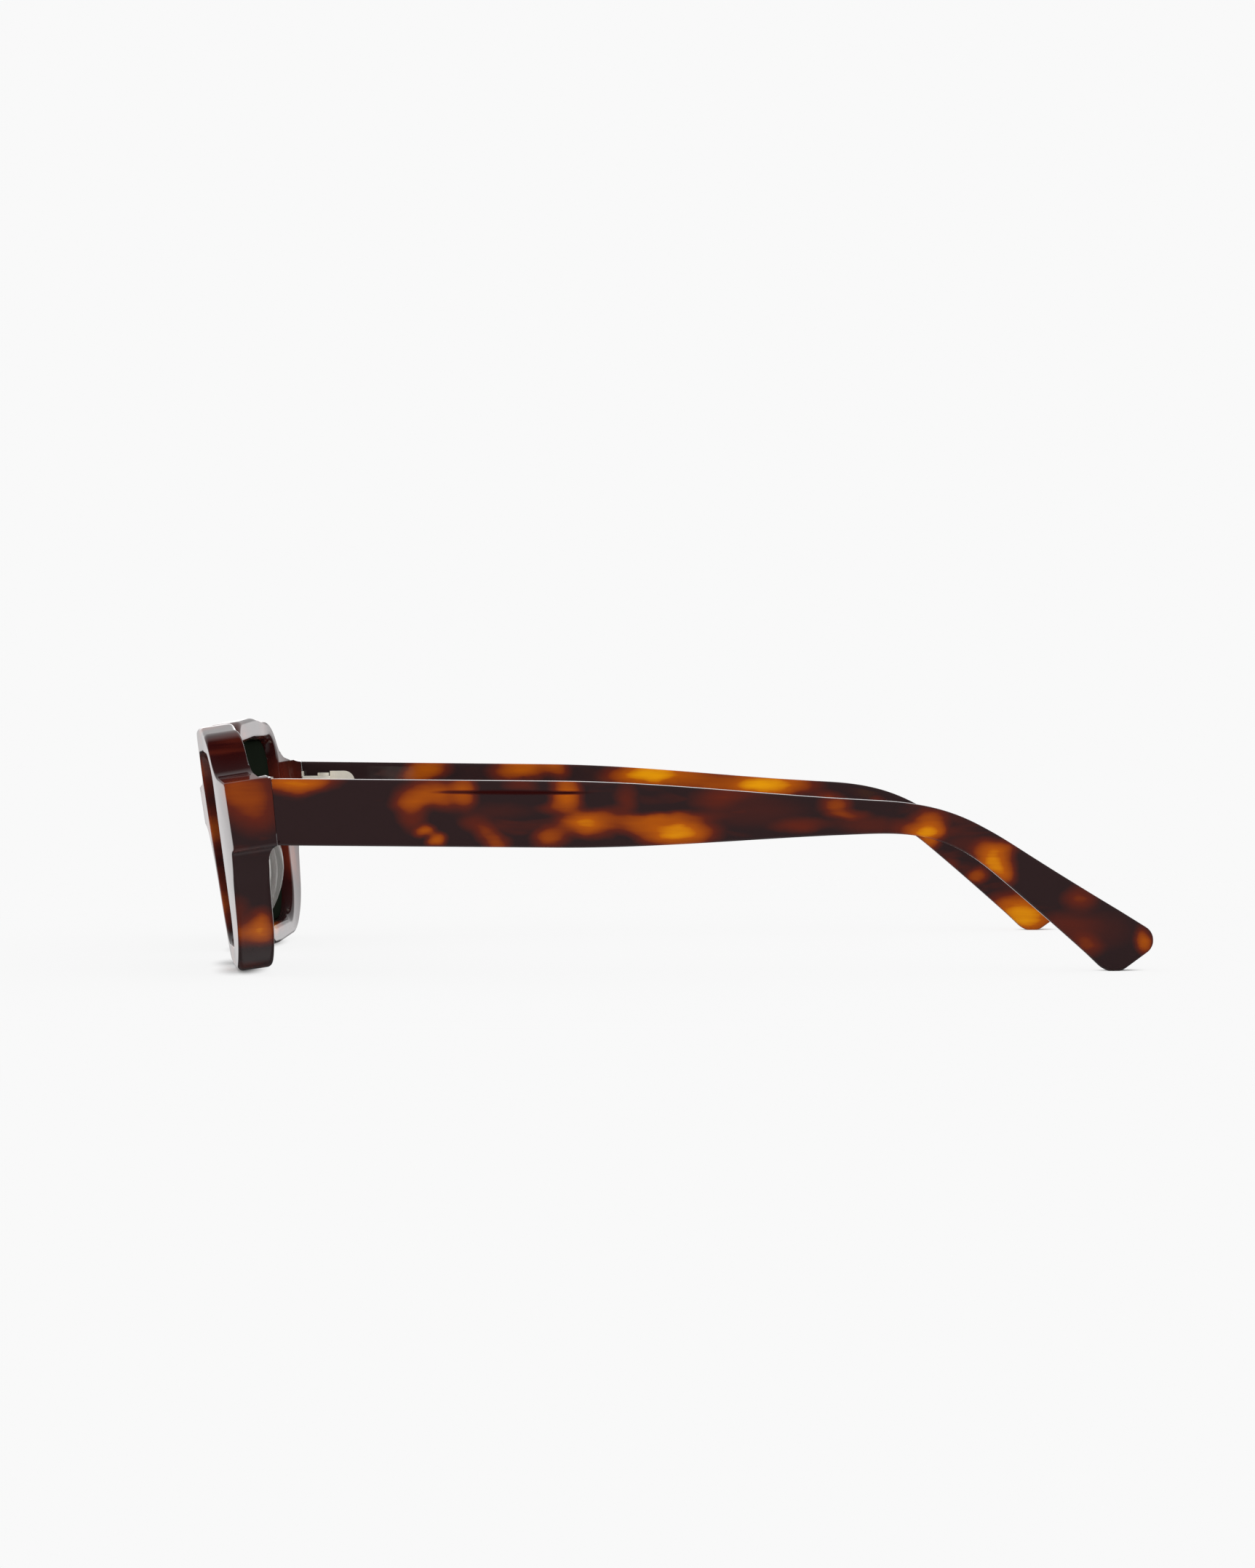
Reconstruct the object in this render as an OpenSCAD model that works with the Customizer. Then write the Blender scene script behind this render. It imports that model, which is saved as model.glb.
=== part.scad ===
// Tortoiseshell sunglasses: an acetate front with two cylindrical lenses and glued nose pads,
// and two acetate temples on five-barrel hinges.
// +X is the wearer's left, -Y is where the wearer looks, +Z is up. The glasses stand with the
// temples open on the rim bottoms and the temple tips, and the origin is the middle of their
// footprint, on the surface that they stand on.

/* [Front] */
// Width over both end pieces
front_w = 138.6; // [132:0.2:146]
// Thickness of the rims, from the front face to the rear face
front_t = 5.9; // [5.4:0.1:6.8]
// Lean of the front: its top is further forward than its bottom
front_lean = 8.2; // [6:0.1:11]
// Angle between each rim's front face and the frame's width
face_angle = 4.6; // [3:0.1:6]
// Distance from the middle at which the front starts to curve back towards the end pieces
wrap_start = 48; // [44:0.5:52]
// Radius of that curve, seen from above
wrap_r = 114; // [90:1:160]
// Radius of the rounding on the outer edges of the front
edge_r = 0.35; // [0.25:0.05:0.6]

/* [Rims and lenses] */
// Width of the rim and end piece beside each lens opening, on the outer side
side_w = 11; // [10.4:0.1:12]
// Height of each lens opening
lens_h = 33.0; // [28:0.2:36]
// Height of the rim under the lens opening
rim_bottom = 3.4; // [2.6:0.1:4.5]
// Height of the rim over the lens opening
rim_top = 4; // [3:0.1:5]
// Thickness of the lenses
lens_t = 2; // [1.8:0.1:2.4]
// Radius of the lens curve
lens_curve = 265; // [200:5:400]
// Depth of the groove behind the front face, at the sides of the lens
groove_back = 3.1; // [2.8:0.05:3.3]
// Depth of the groove in the rim
groove_depth = 0.8; // [0.7:0.05:1]
// Thickness of the tongue around the lens
tongue_t = 0.9; // [0.7:0.05:1]
// Radius of the rounding on the edges of the lens opening
opening_r = 0.4; // [0.2:0.05:0.5]

/* [Bridge and nose pads] */
// Distance between the two lens openings
bridge_w = 20.6; // [18:0.2:23]
// Height of the bridge, from its underside to its top
bridge_h = 7.6; // [6:0.1:9]
// Height of the bridge's underside over the rim bottoms
bridge_level = 22.8; // [21:0.1:25]
// How far the bridge's front stands forward of the rims
bridge_bulge = 0.8; // [0.2:0.1:1.4]
// Width of the gap between the rims at its top, under the bridge
nose_w = 9; // [8:0.2:11]
// Length of the nose pads
pad_l = 20; // [16:0.5:22]
// Width of the nose pads where they are glued on
pad_w = 3.9; // [3:0.1:4.4]
// How far the nose pads stand out behind the rims
pad_reach = 4.5; // [3:0.1:6.4]

/* [End pieces] */
// Height of the end pieces
end_h = 10.9; // [10:0.1:12]
// Height of the end pieces' underside over the rim bottoms, along the front
end_level = 20.2; // [19:0.1:22]
// Length of the end pieces' top edge, from the front face to the temple
end_depth = 7.5; // [7.2:0.1:9]
// Step from the end pieces' side down to the rim's side
end_step = 2.1; // [1.2:0.1:3]
// Radius of the hollow corner under the end pieces, at the rims' rear faces
under_r = 2.6; // [1.6:0.1:3.2]
// Width of the flat seat behind each end piece, which the temple closes against
seat_w = 8.3; // [8:0.1:8.6]
// Slant of the joint between end piece and temple: its top is further forward
joint_slant = 4.8; // [2:0.1:7]

/* [Temples] */
// Length of the temples along their middle line, from the joint to the tip
temple_l = 147.2; // [138:0.5:152]
// Thickness of the temples
temple_t = 4.2; // [3.8:0.1:4.4]
// Height of the temples' narrowest stretch, just behind the ear bend
temple_waist_h = 5; // [4.4:0.1:6]
// Length of the temples' front stretch, which has the full height
temple_full_l = 46; // [30:1:60]
// Height of the temple tips at their end
tip_h = 10.2; // [8.5:0.1:11.5]
// Angle that the tips are cut at, against square
tip_cut = 17.6; // [10:0.5:22]
// Radius of the tips' corners
tip_r = 2.5; // [1.8:0.1:2.8]
// Length of the ear bend along the temple
bend_l = 26; // [20:1:36]
// Slope of the temples in front of the ear bend
temple_slope = 1; // [0:0.1:1.2]
// Slope of the temple tips behind the ear bend
tip_slope = 36.8; // [34:0.2:40]
// Angle by which each temple runs inwards
converge = 2.1; // [1:0.1:3]
// Gap between the end piece and the closed temple
joint_gap = 0.15; // [0.1:0.05:0.3]
// Radius of the rounding on the temples' long edges
temple_r = 0.45; // [0.2:0.05:0.6]

/* [Core wires] */
// Height of the flat wire inside each temple
wire_h = 2; // [1.6:0.1:2.4]
// Thickness of the wire
wire_t = 1; // [0.8:0.05:1.2]
// Length of the temple's tip that the wire doesn't reach
wire_short = 14; // [10:1:20]

/* [Hinges] */
// Distance from the temple's inner face to the hinge axis
axis_in = 2.8; // [2.6:0.1:3]
// Distance from the joint back to the hinge axis
axis_back = 4.2; // [3.8:0.1:4.6]
// Radius of the barrels
barrel_r = 1.3; // [1.15:0.05:1.4]
// Height of one barrel
barrel_h = 1.06; // [0.9:0.02:1.2]
// Radius of the screw
screw_r = 0.7; // [0.6:0.02:0.8]
// Radius of the screw's head
head_r = 1.05; // [0.9:0.05:1.1]
// Height of the screw's head
head_h = 0.55; // [0.4:0.05:0.7]
// Height of the hinge leaves
leaf_h = 7.2; // [6.4:0.1:8]
// Thickness of the hinge leaves
leaf_t = 0.86; // [0.7:0.02:1]
// Depth to which the leaves are let into the acetate
leaf_in = 0.48; // [0.3:0.02:0.6]
// Width of the front leaf
front_leaf_w = 3.2; // [2.8:0.1:3.3]
// Length of the temple leaf
temple_leaf_l = 4.6; // [4.4:0.1:7]
// Radius of the temple leaf's rear corners
leaf_corner_r = 2; // [1:0.1:2.6]
// Depth of the roots that hold the leaves in the acetate
root_depth = 1.8; // [1.2:0.1:2]

/* [Clearances] */
// Running clearance between a temple's barrels and the screw
run_gap = 0.04; // [0.02:0.01:0.08]
// Gap between one barrel and the next
barrel_gap = 0.04; // [0.03:0.01:0.08]
// Gap between the edge of each lens and its opening
lens_gap = 0.1; // [0.06:0.01:0.14]
// Gap around pieces that are set into the acetate
set_gap = 0.03; // [0.02:0.01:0.06]
// Gap of the glue under the nose pads
glue_gap = 0.06; // [0.04:0.01:0.1]
// Depth of the flats where the rims and tips stand
stand_flat = 0.12; // [0.08:0.01:0.2]

/* [Hidden] */

// Colours
acetate = "#4a2015";
lens_tint = [0.05, 0.07, 0.05, 0.9];
pad_tint = [0.62, 0.63, 0.57, 0.7];
hinge_metal = "#d8cba8";
steel = "#b9b6ae";

// Shared measures of the front, in its own upright plane: x across, v up from the rim bottoms
half_w = front_w / 2;
lens_x0 = bridge_w / 2;
lens_x1 = half_w - side_w;
lens_w = lens_x1 - lens_x0;
lens_v1 = rim_bottom + lens_h;
front_h = lens_v1 + rim_top;
bridge_top = bridge_level + bridge_h;
end_top = end_level + end_h;
seat_x = half_w - seat_w;
lean_c = cos(front_lean);
lean_s = sin(front_lean);
face_slope = tan(face_angle);
bend_half = 9;
bulge_half = 10;
end_corner_r = 0.95;
arc_step = 15;
station_step = 8;
station_gap = 2.6;
outer_gap = 1.2;
rows = [1 / 3, 2 / 3];
big = 400;

// Small helpers
function smooth(t) = let (u = min(1, max(0, t))) u * u * (3 - 2 * u);
function unit(a) = a / norm(a);
function cross2(a, b) = a.x * b.y - a.y * b.x;
function turn(a) = a > 180 ? a - 360 : a < -180 ? a + 360 : a;
function sorted(a) = len(a) < 2 ? a : let (
        pivot = a[floor(len(a) / 2)],
        low = [for (x = a) if (x < pivot) x],
        same = [for (x = a) if (x == pivot) x],
        high = [for (x = a) if (x > pivot) x]
    ) concat(sorted(low), same, sorted(high));

// The arc that replaces corner q, which has its radius as third value, between its neighbours p and s
function corner(p, q, s) =
    q[2] == 0 ? [[q.x, q.y]] : let (
        o = [q.x, q.y],
        a = unit([p.x, p.y] - o),
        b = unit([s.x, s.y] - o),
        half = acos(a * b) / 2,
        c = o + unit(a + b) * q[2] / sin(half),
        from = o + a * q[2] / tan(half) - c,
        to = o + b * q[2] / tan(half) - c,
        start = atan2(from.y, from.x),
        sweep = turn(atan2(to.y, to.x) - start),
        n = max(2, ceil(abs(sweep) / arc_step))
    ) [for (i = [0 : n]) c + q[2] * [cos(start + sweep * i / n), sin(start + sweep * i / n)]];
// A closed outline with rounded corners, from corners listed clockwise; it runs counter-clockwise
function rounded(p) = let (
        loop = [for (i = [0 : len(p) - 1]) each corner(p[(i + len(p) - 1) % len(p)], p[i], p[(i + 1) % len(p)])]
    ) [for (i = [len(loop) - 1 : -1 : 0]) loop[i]];

// Outline of the left half of the front, from the bridge's top round to its underside
outer_outline = rounded([
    [0, bridge_top, 0],
    [lens_x0 - 3, bridge_top + 0.5, 6],
    [lens_x0 + 6, front_h - 0.2, 8],
    [lens_x0 + 0.57 * lens_w, front_h + 0.1, 90],
    [lens_x1 - 0.6, front_h - 1.3, 6.5],
    [lens_x1 + 3.3, end_top + 1.4, 5],
    [half_w, end_top, end_corner_r],
    [half_w, end_level, end_corner_r],
    [half_w - end_step, end_level - 0.5, 0.9],
    [lens_x1 + 1.2, 0.15, 14],
    [lens_x0 + 0.4 * lens_w, -0.25, 110],
    [lens_x0 + 7.2, 0.1, 8],
    [lens_x0 + 2.2, 7.4, 14],
    [nose_w / 2, bridge_level, 3],
    [0, bridge_level, 0]
]);

// Outline of the left lens opening
lens_outline = rounded([
    [lens_x0 + 0.5, lens_v1 - 0.4, 8],
    [lens_x0 + 0.57 * lens_w, lens_v1 + 0.1, 90],
    [lens_x1 + 0.6, lens_v1 - 0.5, 4.4],
    [lens_x1 - 4.7, rim_bottom, 9],
    [lens_x0 + 6, rim_bottom, 10],
    [lens_x0 - 0.2, rim_bottom + 0.55 * lens_h, 24]
]);

// Stations round the lens: the directions of the corners of both outlines, and some between them
lens_mid = [(lens_x0 + lens_x1) / 2, bridge_level + 0.3 * bridge_h];
function direction(p) = atan2(p.y - lens_mid.y, p.x - lens_mid.x);
function apart(a, others, gap) = min([for (b = others) abs(turn(a - b))]) > gap;
outer_angles = [for (p = outer_outline) direction(p)];
lens_angles = [for (p = lens_outline) if (apart(direction(p), outer_angles, outer_gap)) direction(p)];
corner_angles = concat(outer_angles, lens_angles);
even_angles = [for (a = [-179 : station_step : 178]) if (apart(a, corner_angles, station_gap)) a];
stations = sorted(concat(corner_angles, even_angles));
function hit(loop, a) = let (
        d = [cos(a), sin(a)],
        hits = [for (i = [0 : len(loop) - 1]) let (
                p = loop[i] - lens_mid,
                e = loop[(i + 1) % len(loop)] - loop[i],
                den = cross2(e, d),
                u = abs(den) < 1e-9 ? -1 : -cross2(p, d) / den
            ) if (u > -1e-6 && u < 1 + 1e-6 && (p + u * e) * d > 0) loop[i] + u * e]
    ) hits[0];
outer_loop = [for (a = stations) hit(outer_outline, a)];
lens_loop = [for (a = stations) hit(lens_outline, a)];
count = len(stations);

// Unit normals that point out of a loop, by its neighbours
function loop_normal(loop, i) = let (
        t = unit(loop[(i + 1) % len(loop)] - loop[(i + len(loop) - 1) % len(loop)])
    ) [t.y, -t.x];
// On the frame's middle plane the loop isn't rounded, but for its two corners
function on_middle(p) = abs(p.x) < 1e-6;
function outer_normal(i) = let (
        p = outer_loop[i],
        lone = on_middle(p) && on_middle(outer_loop[(i + 1) % count])
            && on_middle(outer_loop[(i + count - 1) % count])
    ) lone ? [0, 0] : on_middle(p) ? [0, p.y > bridge_level + bridge_h / 2 ? 1 : -1] : loop_normal(outer_loop, i);

// Depth of the front and rear faces behind the front plane
function bow(x) = (x < bend_half ? face_slope * x * x / (2 * bend_half) : face_slope * (x - bend_half / 2))
    + (x > wrap_start ? pow(x - wrap_start, 2) / (2 * wrap_r) : 0);
function front_face(x) = bow(x) - (x < bulge_half ? bridge_bulge * pow(cos(90 * x / bulge_half), 2) : 0);
front_y = -end_depth - bow(half_w) * lean_c + end_top * lean_s;
low_edge = min([for (p = outer_outline) p.y * lean_c + front_face(p.x) * lean_s]);
front_z = -low_edge - edge_r * (lean_c + lean_s - 1) - stand_flat;
function front_point(x, v, y) = [
    x,
    front_y + y * lean_c - v * lean_s,
    front_z + v * lean_c + y * lean_s
];
// Height of the temple's middle line at the joint, and the joint's plane
hinge_z = front_point(half_w, end_level + end_h / 2, bow(half_w) + front_t).z;
joint_tan = tan(joint_slant);
joint_top_z = hinge_z + end_h / 2;
function joint_y(z) = (joint_top_z - z) * joint_tan;
function rear_face(x) = bow(x) + front_t;

// The end piece behind the rim, and the hollow corner under it: depth behind the rear face, height
under_top = end_level + 0.3;
under_in = 1.5;
under_stops = [0, 0.25, 0.5, 0.75, 1.1];
block_in = 0.02;
under_profile = concat(
    [[-under_in, under_top + 0.1], [-under_in, under_top - under_r]],
    [for (a = [90 : -15 : 0]) [under_r * (1 - sin(a)) - block_in, under_top - under_r * (1 - cos(a))]],
    [[under_r, under_top + 0.1]]
);
block_up = 0.3;
block_down = 0.1;
corner_in = 1.2;
block_y = bow(half_w) + 1.5;
seat_y = rear_face(seat_x);

// The lens curve passes through the groove at both sides of the lens
groove_0 = [lens_x0, bow(lens_x0) + groove_back];
groove_1 = [lens_x1, bow(lens_x1) + groove_back];
groove_mid = (groove_0 + groove_1) / 2;
groove_half = norm(groove_1 - groove_0) / 2;
groove_dir = unit(groove_1 - groove_0);
lens_axis = groove_mid + [-groove_dir.y, groove_dir.x] * sqrt(lens_curve * lens_curve - groove_half * groove_half);
function lens_depth(x) = lens_axis.y - sqrt(lens_curve * lens_curve - pow(x - lens_axis.x, 2));
groove_w = tongue_t + 0.2;

// One section of the front: out along the front face, over the outer edge, in along the rear
// face, and back through the lens groove
cut = 1 - cos(45);
function at_front(p, d) = front_point(p.x, p.y, front_face(p.x) + d);
function at_rear(p, d) = front_point(p.x, p.y, rear_face(p.x) - d);
function section(i) = let (
        o = outer_loop[i],
        l = lens_loop[i],
        no = outer_normal(i),
        nl = loop_normal(lens_loop, i),
        o1 = o - no * edge_r,
        o2 = o - no * edge_r * cut,
        l1 = l + nl * opening_r,
        g = l + nl * groove_depth
    ) concat(
        [at_front(l, opening_r), at_front(l1, 0)],
        [for (f = rows) at_front(l1 + (o1 - l1) * f, 0)],
        [at_front(o1, 0), at_front(o2, edge_r * cut), at_front(o, edge_r)],
        [at_rear(o, edge_r), at_rear(o2, edge_r * cut), at_rear(o1, 0)],
        [for (k = [len(rows) - 1 : -1 : 0]) at_rear(l1 + (o1 - l1) * rows[k], 0)],
        [at_rear(l1, 0), at_rear(l, opening_r)],
        [front_point(l.x, l.y, lens_depth(l.x) + groove_w / 2)],
        [front_point(g.x, g.y, lens_depth(g.x) + groove_w / 2)],
        [front_point(g.x, g.y, lens_depth(g.x) - groove_w / 2)],
        [front_point(l.x, l.y, lens_depth(l.x) - groove_w / 2)]
    );
front_sections = [for (i = [0 : count - 1]) section(i)];
front_points = [for (s = front_sections) each s];

// Skin between closed rings of points: ring i holds the same number of points as the next
function skin(rings, per) = [for (i = [0 : rings - 1], k = [0 : per - 1]) let (
        a = i * per + k,
        b = i * per + (k + 1) % per,
        c = ((i + 1) % rings) * per + (k + 1) % per,
        d = ((i + 1) % rings) * per + k
    ) each [[a, c, b], [a, d, c]]];
// The same, open along the rings, with a cap at each end
function tube_faces(rings, per) = concat(
    [[for (k = [0 : per - 1]) k]],
    [for (i = [0 : rings - 2], k = [0 : per - 1]) let (
            a = i * per + k,
            b = i * per + (k + 1) % per
        ) each [[a, a + per, b + per], [a, b + per, b]]],
    [[(rings - 1) * per, for (k = [per - 1 : -1 : 1]) (rings - 1) * per + k]]
);

// A cap over a long loop, as a strip between its two sides
function strip_cap(n, first, outward) = [for (i = [0 : ceil(n / 2) - 2]) let (
        a = first + i,
        b = a + 1,
        c = first + n - 2 - i,
        d = c + 1
    ) each concat(
        b == c ? [] : [outward ? [a, b, c] : [a, c, b]],
        [outward ? [a, c, d] : [a, d, c]]
    )];
function slab_faces(rings, per) = concat(
    strip_cap(per, 0, true),
    [for (i = [0 : rings - 2], k = [0 : per - 1]) let (
            a = i * per + k,
            b = i * per + (k + 1) % per
        ) each [[a, a + per, b + per], [a, b + per, b]]],
    strip_cap(per, (rings - 1) * per, false)
);

// Temple outline, seen from the side: y back from the joint, z up
temple_h = end_h - 0.2;
leg_try = 20;
bend_steps = 26;
function bend_angle(t) = temple_slope + (tip_slope - temple_slope) * smooth(t);
bend_points = [for (i = 0, p = [0, 0]; i <= bend_steps;
    p = p + bend_l / bend_steps * [cos(bend_angle((i + 0.5) / bend_steps)), -sin(bend_angle((i + 0.5) / bend_steps))],
    i = i + 1) p];
function straight_l(leg) = temple_l - bend_l - leg;
bend_end = bend_points[bend_steps];
// Middle line at distance s from the joint, for a tip stretch of length leg
function mid_point(s, leg) = let (
        s1 = straight_l(leg),
        start = [0, hinge_z] + s1 * [cos(temple_slope), -sin(temple_slope)],
        f = (s - s1) / bend_l * bend_steps,
        k = floor(f)
    ) s <= s1 ? [0, hinge_z] + s * [cos(temple_slope), -sin(temple_slope)]
    : s < s1 + bend_l ? start + bend_points[k] + (f - k) * (bend_points[k + 1] - bend_points[k])
    : start + bend_end + (s - s1 - bend_l) * [cos(tip_slope), -sin(tip_slope)];
function mid_angle(s, leg) = bend_angle((s - straight_l(leg)) / bend_l);
waist_after = 11;
flare_l = 33;
function temple_height(s, leg) = let (
        waist = straight_l(leg) + waist_after,
        flare = max(0, s - temple_l + flare_l) / flare_l
    ) temple_h + (temple_waist_h - temple_h) * smooth((s - temple_full_l) / (waist - temple_full_l))
    + (tip_h - temple_waist_h) * pow(flare, 1.3);
function edge_point(s, leg, side) = mid_point(s, leg)
    + side * temple_height(s, leg) / 2 * [sin(mid_angle(s, leg)), cos(mid_angle(s, leg))];
tip_room = 6;
edge_step = 4;
function edge_stops(leg) = concat(
    [for (s = [2 * edge_step : 2 * edge_step : straight_l(leg) - edge_step]) s],
    [for (s = [straight_l(leg) : edge_step / 2 : temple_l - tip_room]) s]
);
end_dir = [cos(90 - tip_slope - tip_cut), sin(90 - tip_slope - tip_cut)];
function temple_corners(leg) = let (
        stops = edge_stops(leg),
        n = len(stops),
        tip = mid_point(temple_l, leg),
        reach = tip_h / 2 / cos(tip_cut),
        top = hinge_z + temple_h / 2,
        bottom = hinge_z - temple_h / 2
    ) concat(
        [[joint_y(top) + joint_gap, top, 0.3]],
        [for (s = stops) each [concat(edge_point(s, leg, 1), 0)]],
        [concat(tip + reach * end_dir, tip_r), concat(tip - reach * end_dir, tip_r)],
        [for (i = [n - 1 : -1 : 0]) concat(edge_point(stops[i], leg, -1), 0)],
        [[joint_y(bottom) + joint_gap, bottom, 0.3]]
    );
// The tip stretch is as long as it takes for the tips to stand level with the rims
try_low = min([for (p = rounded(temple_corners(leg_try))) p.y]);
tip_leg = leg_try + (try_low + stand_flat) / (sin(tip_slope) - sin(temple_slope));
temple_outline = rounded(temple_corners(tip_leg));
outline_n = len(temple_outline);
function inset(loop, i, d) = loop[i] - d * loop_normal(loop, i);

// Middle of the footprint, from the front's foremost point to the tips' rearmost
low_y = min([for (p = front_points) p.y]);
high_y = max([for (p = temple_outline) p.x]);
middle_y = (low_y + high_y) / 2;

// Hinge places
axis_x = half_w - temple_t - axis_in;
axis_y = axis_back;
barrels = 5;
stack_h = barrels * barrel_h + (barrels - 1) * barrel_gap;
stack_z = hinge_z - stack_h / 2;
function barrel_z(i) = stack_z + i * (barrel_h + barrel_gap);
leaf_x = axis_x - front_leaf_w / 2 + 0.7;
rib_l = 0.8;
knuckle_in = 0.1;
knuckle_reach = axis_in - leaf_t + leaf_in - axis_back * tan(converge) + knuckle_in;
rib_up = 0.35;
leaf_start = 1.2;
root_h = 4.2;
slot_w = 0.3;
wire_start = axis_back + leaf_start + temple_leaf_l - 0.6;
inner_mid = temple_t / 2;

// Moves a piece from the joint's frame into the part's
module placed() translate([0, -middle_y, 0]) children();
module right_side() mirror([1, 0, 0]) children();
module above_floor() intersection() {
    children();
    translate([-big / 2, -big / 2, 0]) cube([big, big, big]);
}
// From the front's upright plane into the part's frame: x across, y back, z up along the front
module leaned() translate([0, front_y, front_z]) rotate([front_lean, 0, 0]) children();
// Onto the joint's plane: x across, y back from the plane, z up along it from the hinge's middle
module on_joint() translate([0, joint_y(hinge_z), hinge_z]) rotate([joint_slant, 0, 0]) children();
// Onto the temple's inner face: x into the temple, y back along it, z up from the hinge's middle
module on_temple() translate([half_w - temple_t, 0, hinge_z]) rotate([0, 0, converge]) children();

module half_front() polyhedron(points = front_points, faces = skin(count, len(front_sections[0])));

// The end piece behind the rim: the outline carried back to the joint's plane, with a hollow
// corner where it meets the rim's rear face
module end_block() difference() {
    leaned() intersection() {
        rotate([90, 0, 0]) translate([0, 0, -big / 2]) linear_extrude(height = big)
            polygon([for (i = [0 : len(outer_outline) - 1]) inset(outer_outline, i, block_in)]);
        union() {
            end_stack();
            under_corner();
        }
    }
    on_joint() translate([-big / 2, 0, -big / 2]) cube(big);
    translate([-big / 2, -big / 2, joint_top_z]) cube(big);
}

// The end piece's plan, carried up through its height
module end_stack() translate([0, 0, end_level - block_down])
    linear_extrude(height = end_h + block_down + block_up) polygon(concat(
        [[half_w + 1, block_y], [seat_x - 2 * corner_in, block_y], [seat_x - 2 * corner_in, seat_y - corner_in]],
        [for (a = [0 : 15 : 90]) [seat_x - corner_in + corner_in * sin(a), seat_y + corner_in * (1 - cos(a))]],
        [[seat_x, seat_y + 10], [half_w + 1, seat_y + 10]]
    ));

// The hollow corner under the end piece, along the rim's rear face
module under_corner() polyhedron(
    points = [for (f = under_stops) let (x = seat_x + f * seat_w) each
        [for (q = under_profile) [x, rear_face(x) + q.x, q.y]]],
    faces = tube_faces(len(under_stops), len(under_profile)));

module frame_front() color(acetate) placed() above_floor() difference() {
    union() {
        half_front();
        mirror([1, 0, 0]) half_front();
        end_block();
        mirror([1, 0, 0]) end_block();
    }
    front_leaf_seat(set_gap);
    right_side() front_leaf_seat(set_gap);
}

// Plate and root of the front leaf, grown by gap, for the leaf and for its pocket
module front_leaf_seat(gap) on_joint() {
    translate([leaf_x - gap, -leaf_in - gap, -leaf_h / 2 - gap])
        cube([front_leaf_w + 2 * gap, leaf_t + 2 * gap, leaf_h + 2 * gap]);
    translate([leaf_x + front_leaf_w * 0.2 - gap, -leaf_in - root_depth - gap, -root_h / 2 - gap])
        cube([front_leaf_w * 0.6 + 2 * gap, root_depth + 0.2, root_h + 2 * gap]);
}

module barrel(i, bore) translate([axis_x, axis_y, barrel_z(i)]) difference() {
    cylinder(r = barrel_r, h = barrel_h, $fn = 48);
    translate([0, 0, -1]) cylinder(r = bore, h = barrel_h + 2, $fn = 48);
}

module hinge_front_leaf() color(hinge_metal) placed() union() {
    front_leaf_seat(0);
    for (i = [0 : 2 : barrels - 1]) {
        barrel(i, screw_r + set_gap);
        difference() {
            translate([axis_x - barrel_r, joint_y(barrel_z(i)) + knuckle_in, barrel_z(i)])
                cube([2 * barrel_r, axis_y - joint_y(barrel_z(i)) - knuckle_in, barrel_h]);
            translate([axis_x, axis_y, barrel_z(i) - 1]) cylinder(r = barrel_r - 0.1, h = barrel_h + 2, $fn = 48);
        }
    }
}

// Plate and root of the temple leaf, grown by gap
module temple_leaf_seat(gap) on_temple() {
    translate([-leaf_t + leaf_in - gap, axis_back + leaf_start - gap, 0])
        leaf_plate(temple_leaf_l + 2 * gap, leaf_h + 2 * gap, leaf_t + 2 * gap, leaf_corner_r + gap);
    translate([-0.2, axis_back + leaf_start + 1 - gap, -root_h / 2 - gap])
        cube([0.2 + leaf_in + root_depth + gap, temple_leaf_l - 1.8 + 2 * gap, root_h + 2 * gap]);
}

// A plate with square front corners and round rear ones, its flat side facing along x
module leaf_plate(l, h, t, r) {
    translate([0, 0, -h / 2]) cube([t, l - r, h]);
    translate([0, 0, -h / 2 + r]) cube([t, l, h - 2 * r]);
    for (side = [-1, 1]) translate([0, l - r, side * (h / 2 - r)]) rotate([0, 90, 0]) cylinder(r = r, h = t, $fn = 48);
}

module hinge_temple_leaf() color(hinge_metal) placed() union() {
    temple_leaf_seat(0);
    on_temple() translate([-leaf_t + leaf_in - rib_up, axis_back + leaf_start, -leaf_h / 2 + 0.3])
        cube([rib_up + 0.1, rib_l, leaf_h - 0.6]);
    for (i = [1 : 2 : barrels - 1]) {
        barrel(i, screw_r + run_gap);
        difference() {
            translate([axis_x, axis_y - barrel_r * 0.2, barrel_z(i)])
                cube([knuckle_reach, leaf_start + barrel_r * 0.2 + rib_l, barrel_h]);
            translate([axis_x, axis_y, barrel_z(i) - 1]) cylinder(r = barrel_r - 0.1, h = barrel_h + 2, $fn = 48);
        }
    }
}

module hinge_screw() color(steel) placed() translate([axis_x, axis_y, stack_z]) difference() {
    union() {
        cylinder(r = screw_r, h = stack_h + 0.1, $fn = 48);
        translate([0, 0, stack_h + set_gap]) cylinder(r = head_r, h = head_h, $fn = 48);
    }
    translate([-slot_w / 2, -head_r - 1, stack_h + set_gap + head_h * 0.5]) cube([slot_w, 2 * head_r + 2, head_h]);
}

// A curved slice of the lens, t thick, cut to the outline grown by d
module lens_slice(t, d) intersection() {
    rotate([90, 0, 0]) translate([0, 0, -big / 4]) linear_extrude(height = big / 2)
        polygon([for (i = [0 : len(lens_outline) - 1]) inset(lens_outline, i, -d)]);
    translate([lens_axis.x, lens_axis.y, -5]) difference() {
        cylinder(r = lens_curve + t / 2, h = front_h + 10, $fn = 720);
        translate([0, 0, -1]) cylinder(r = lens_curve - t / 2, h = front_h + 12, $fn = 720);
    }
}

module lens() color(lens_tint) placed() leaned() union() {
    lens_slice(lens_t, -lens_gap);
    lens_slice(tongue_t, groove_depth - 0.2);
}

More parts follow.
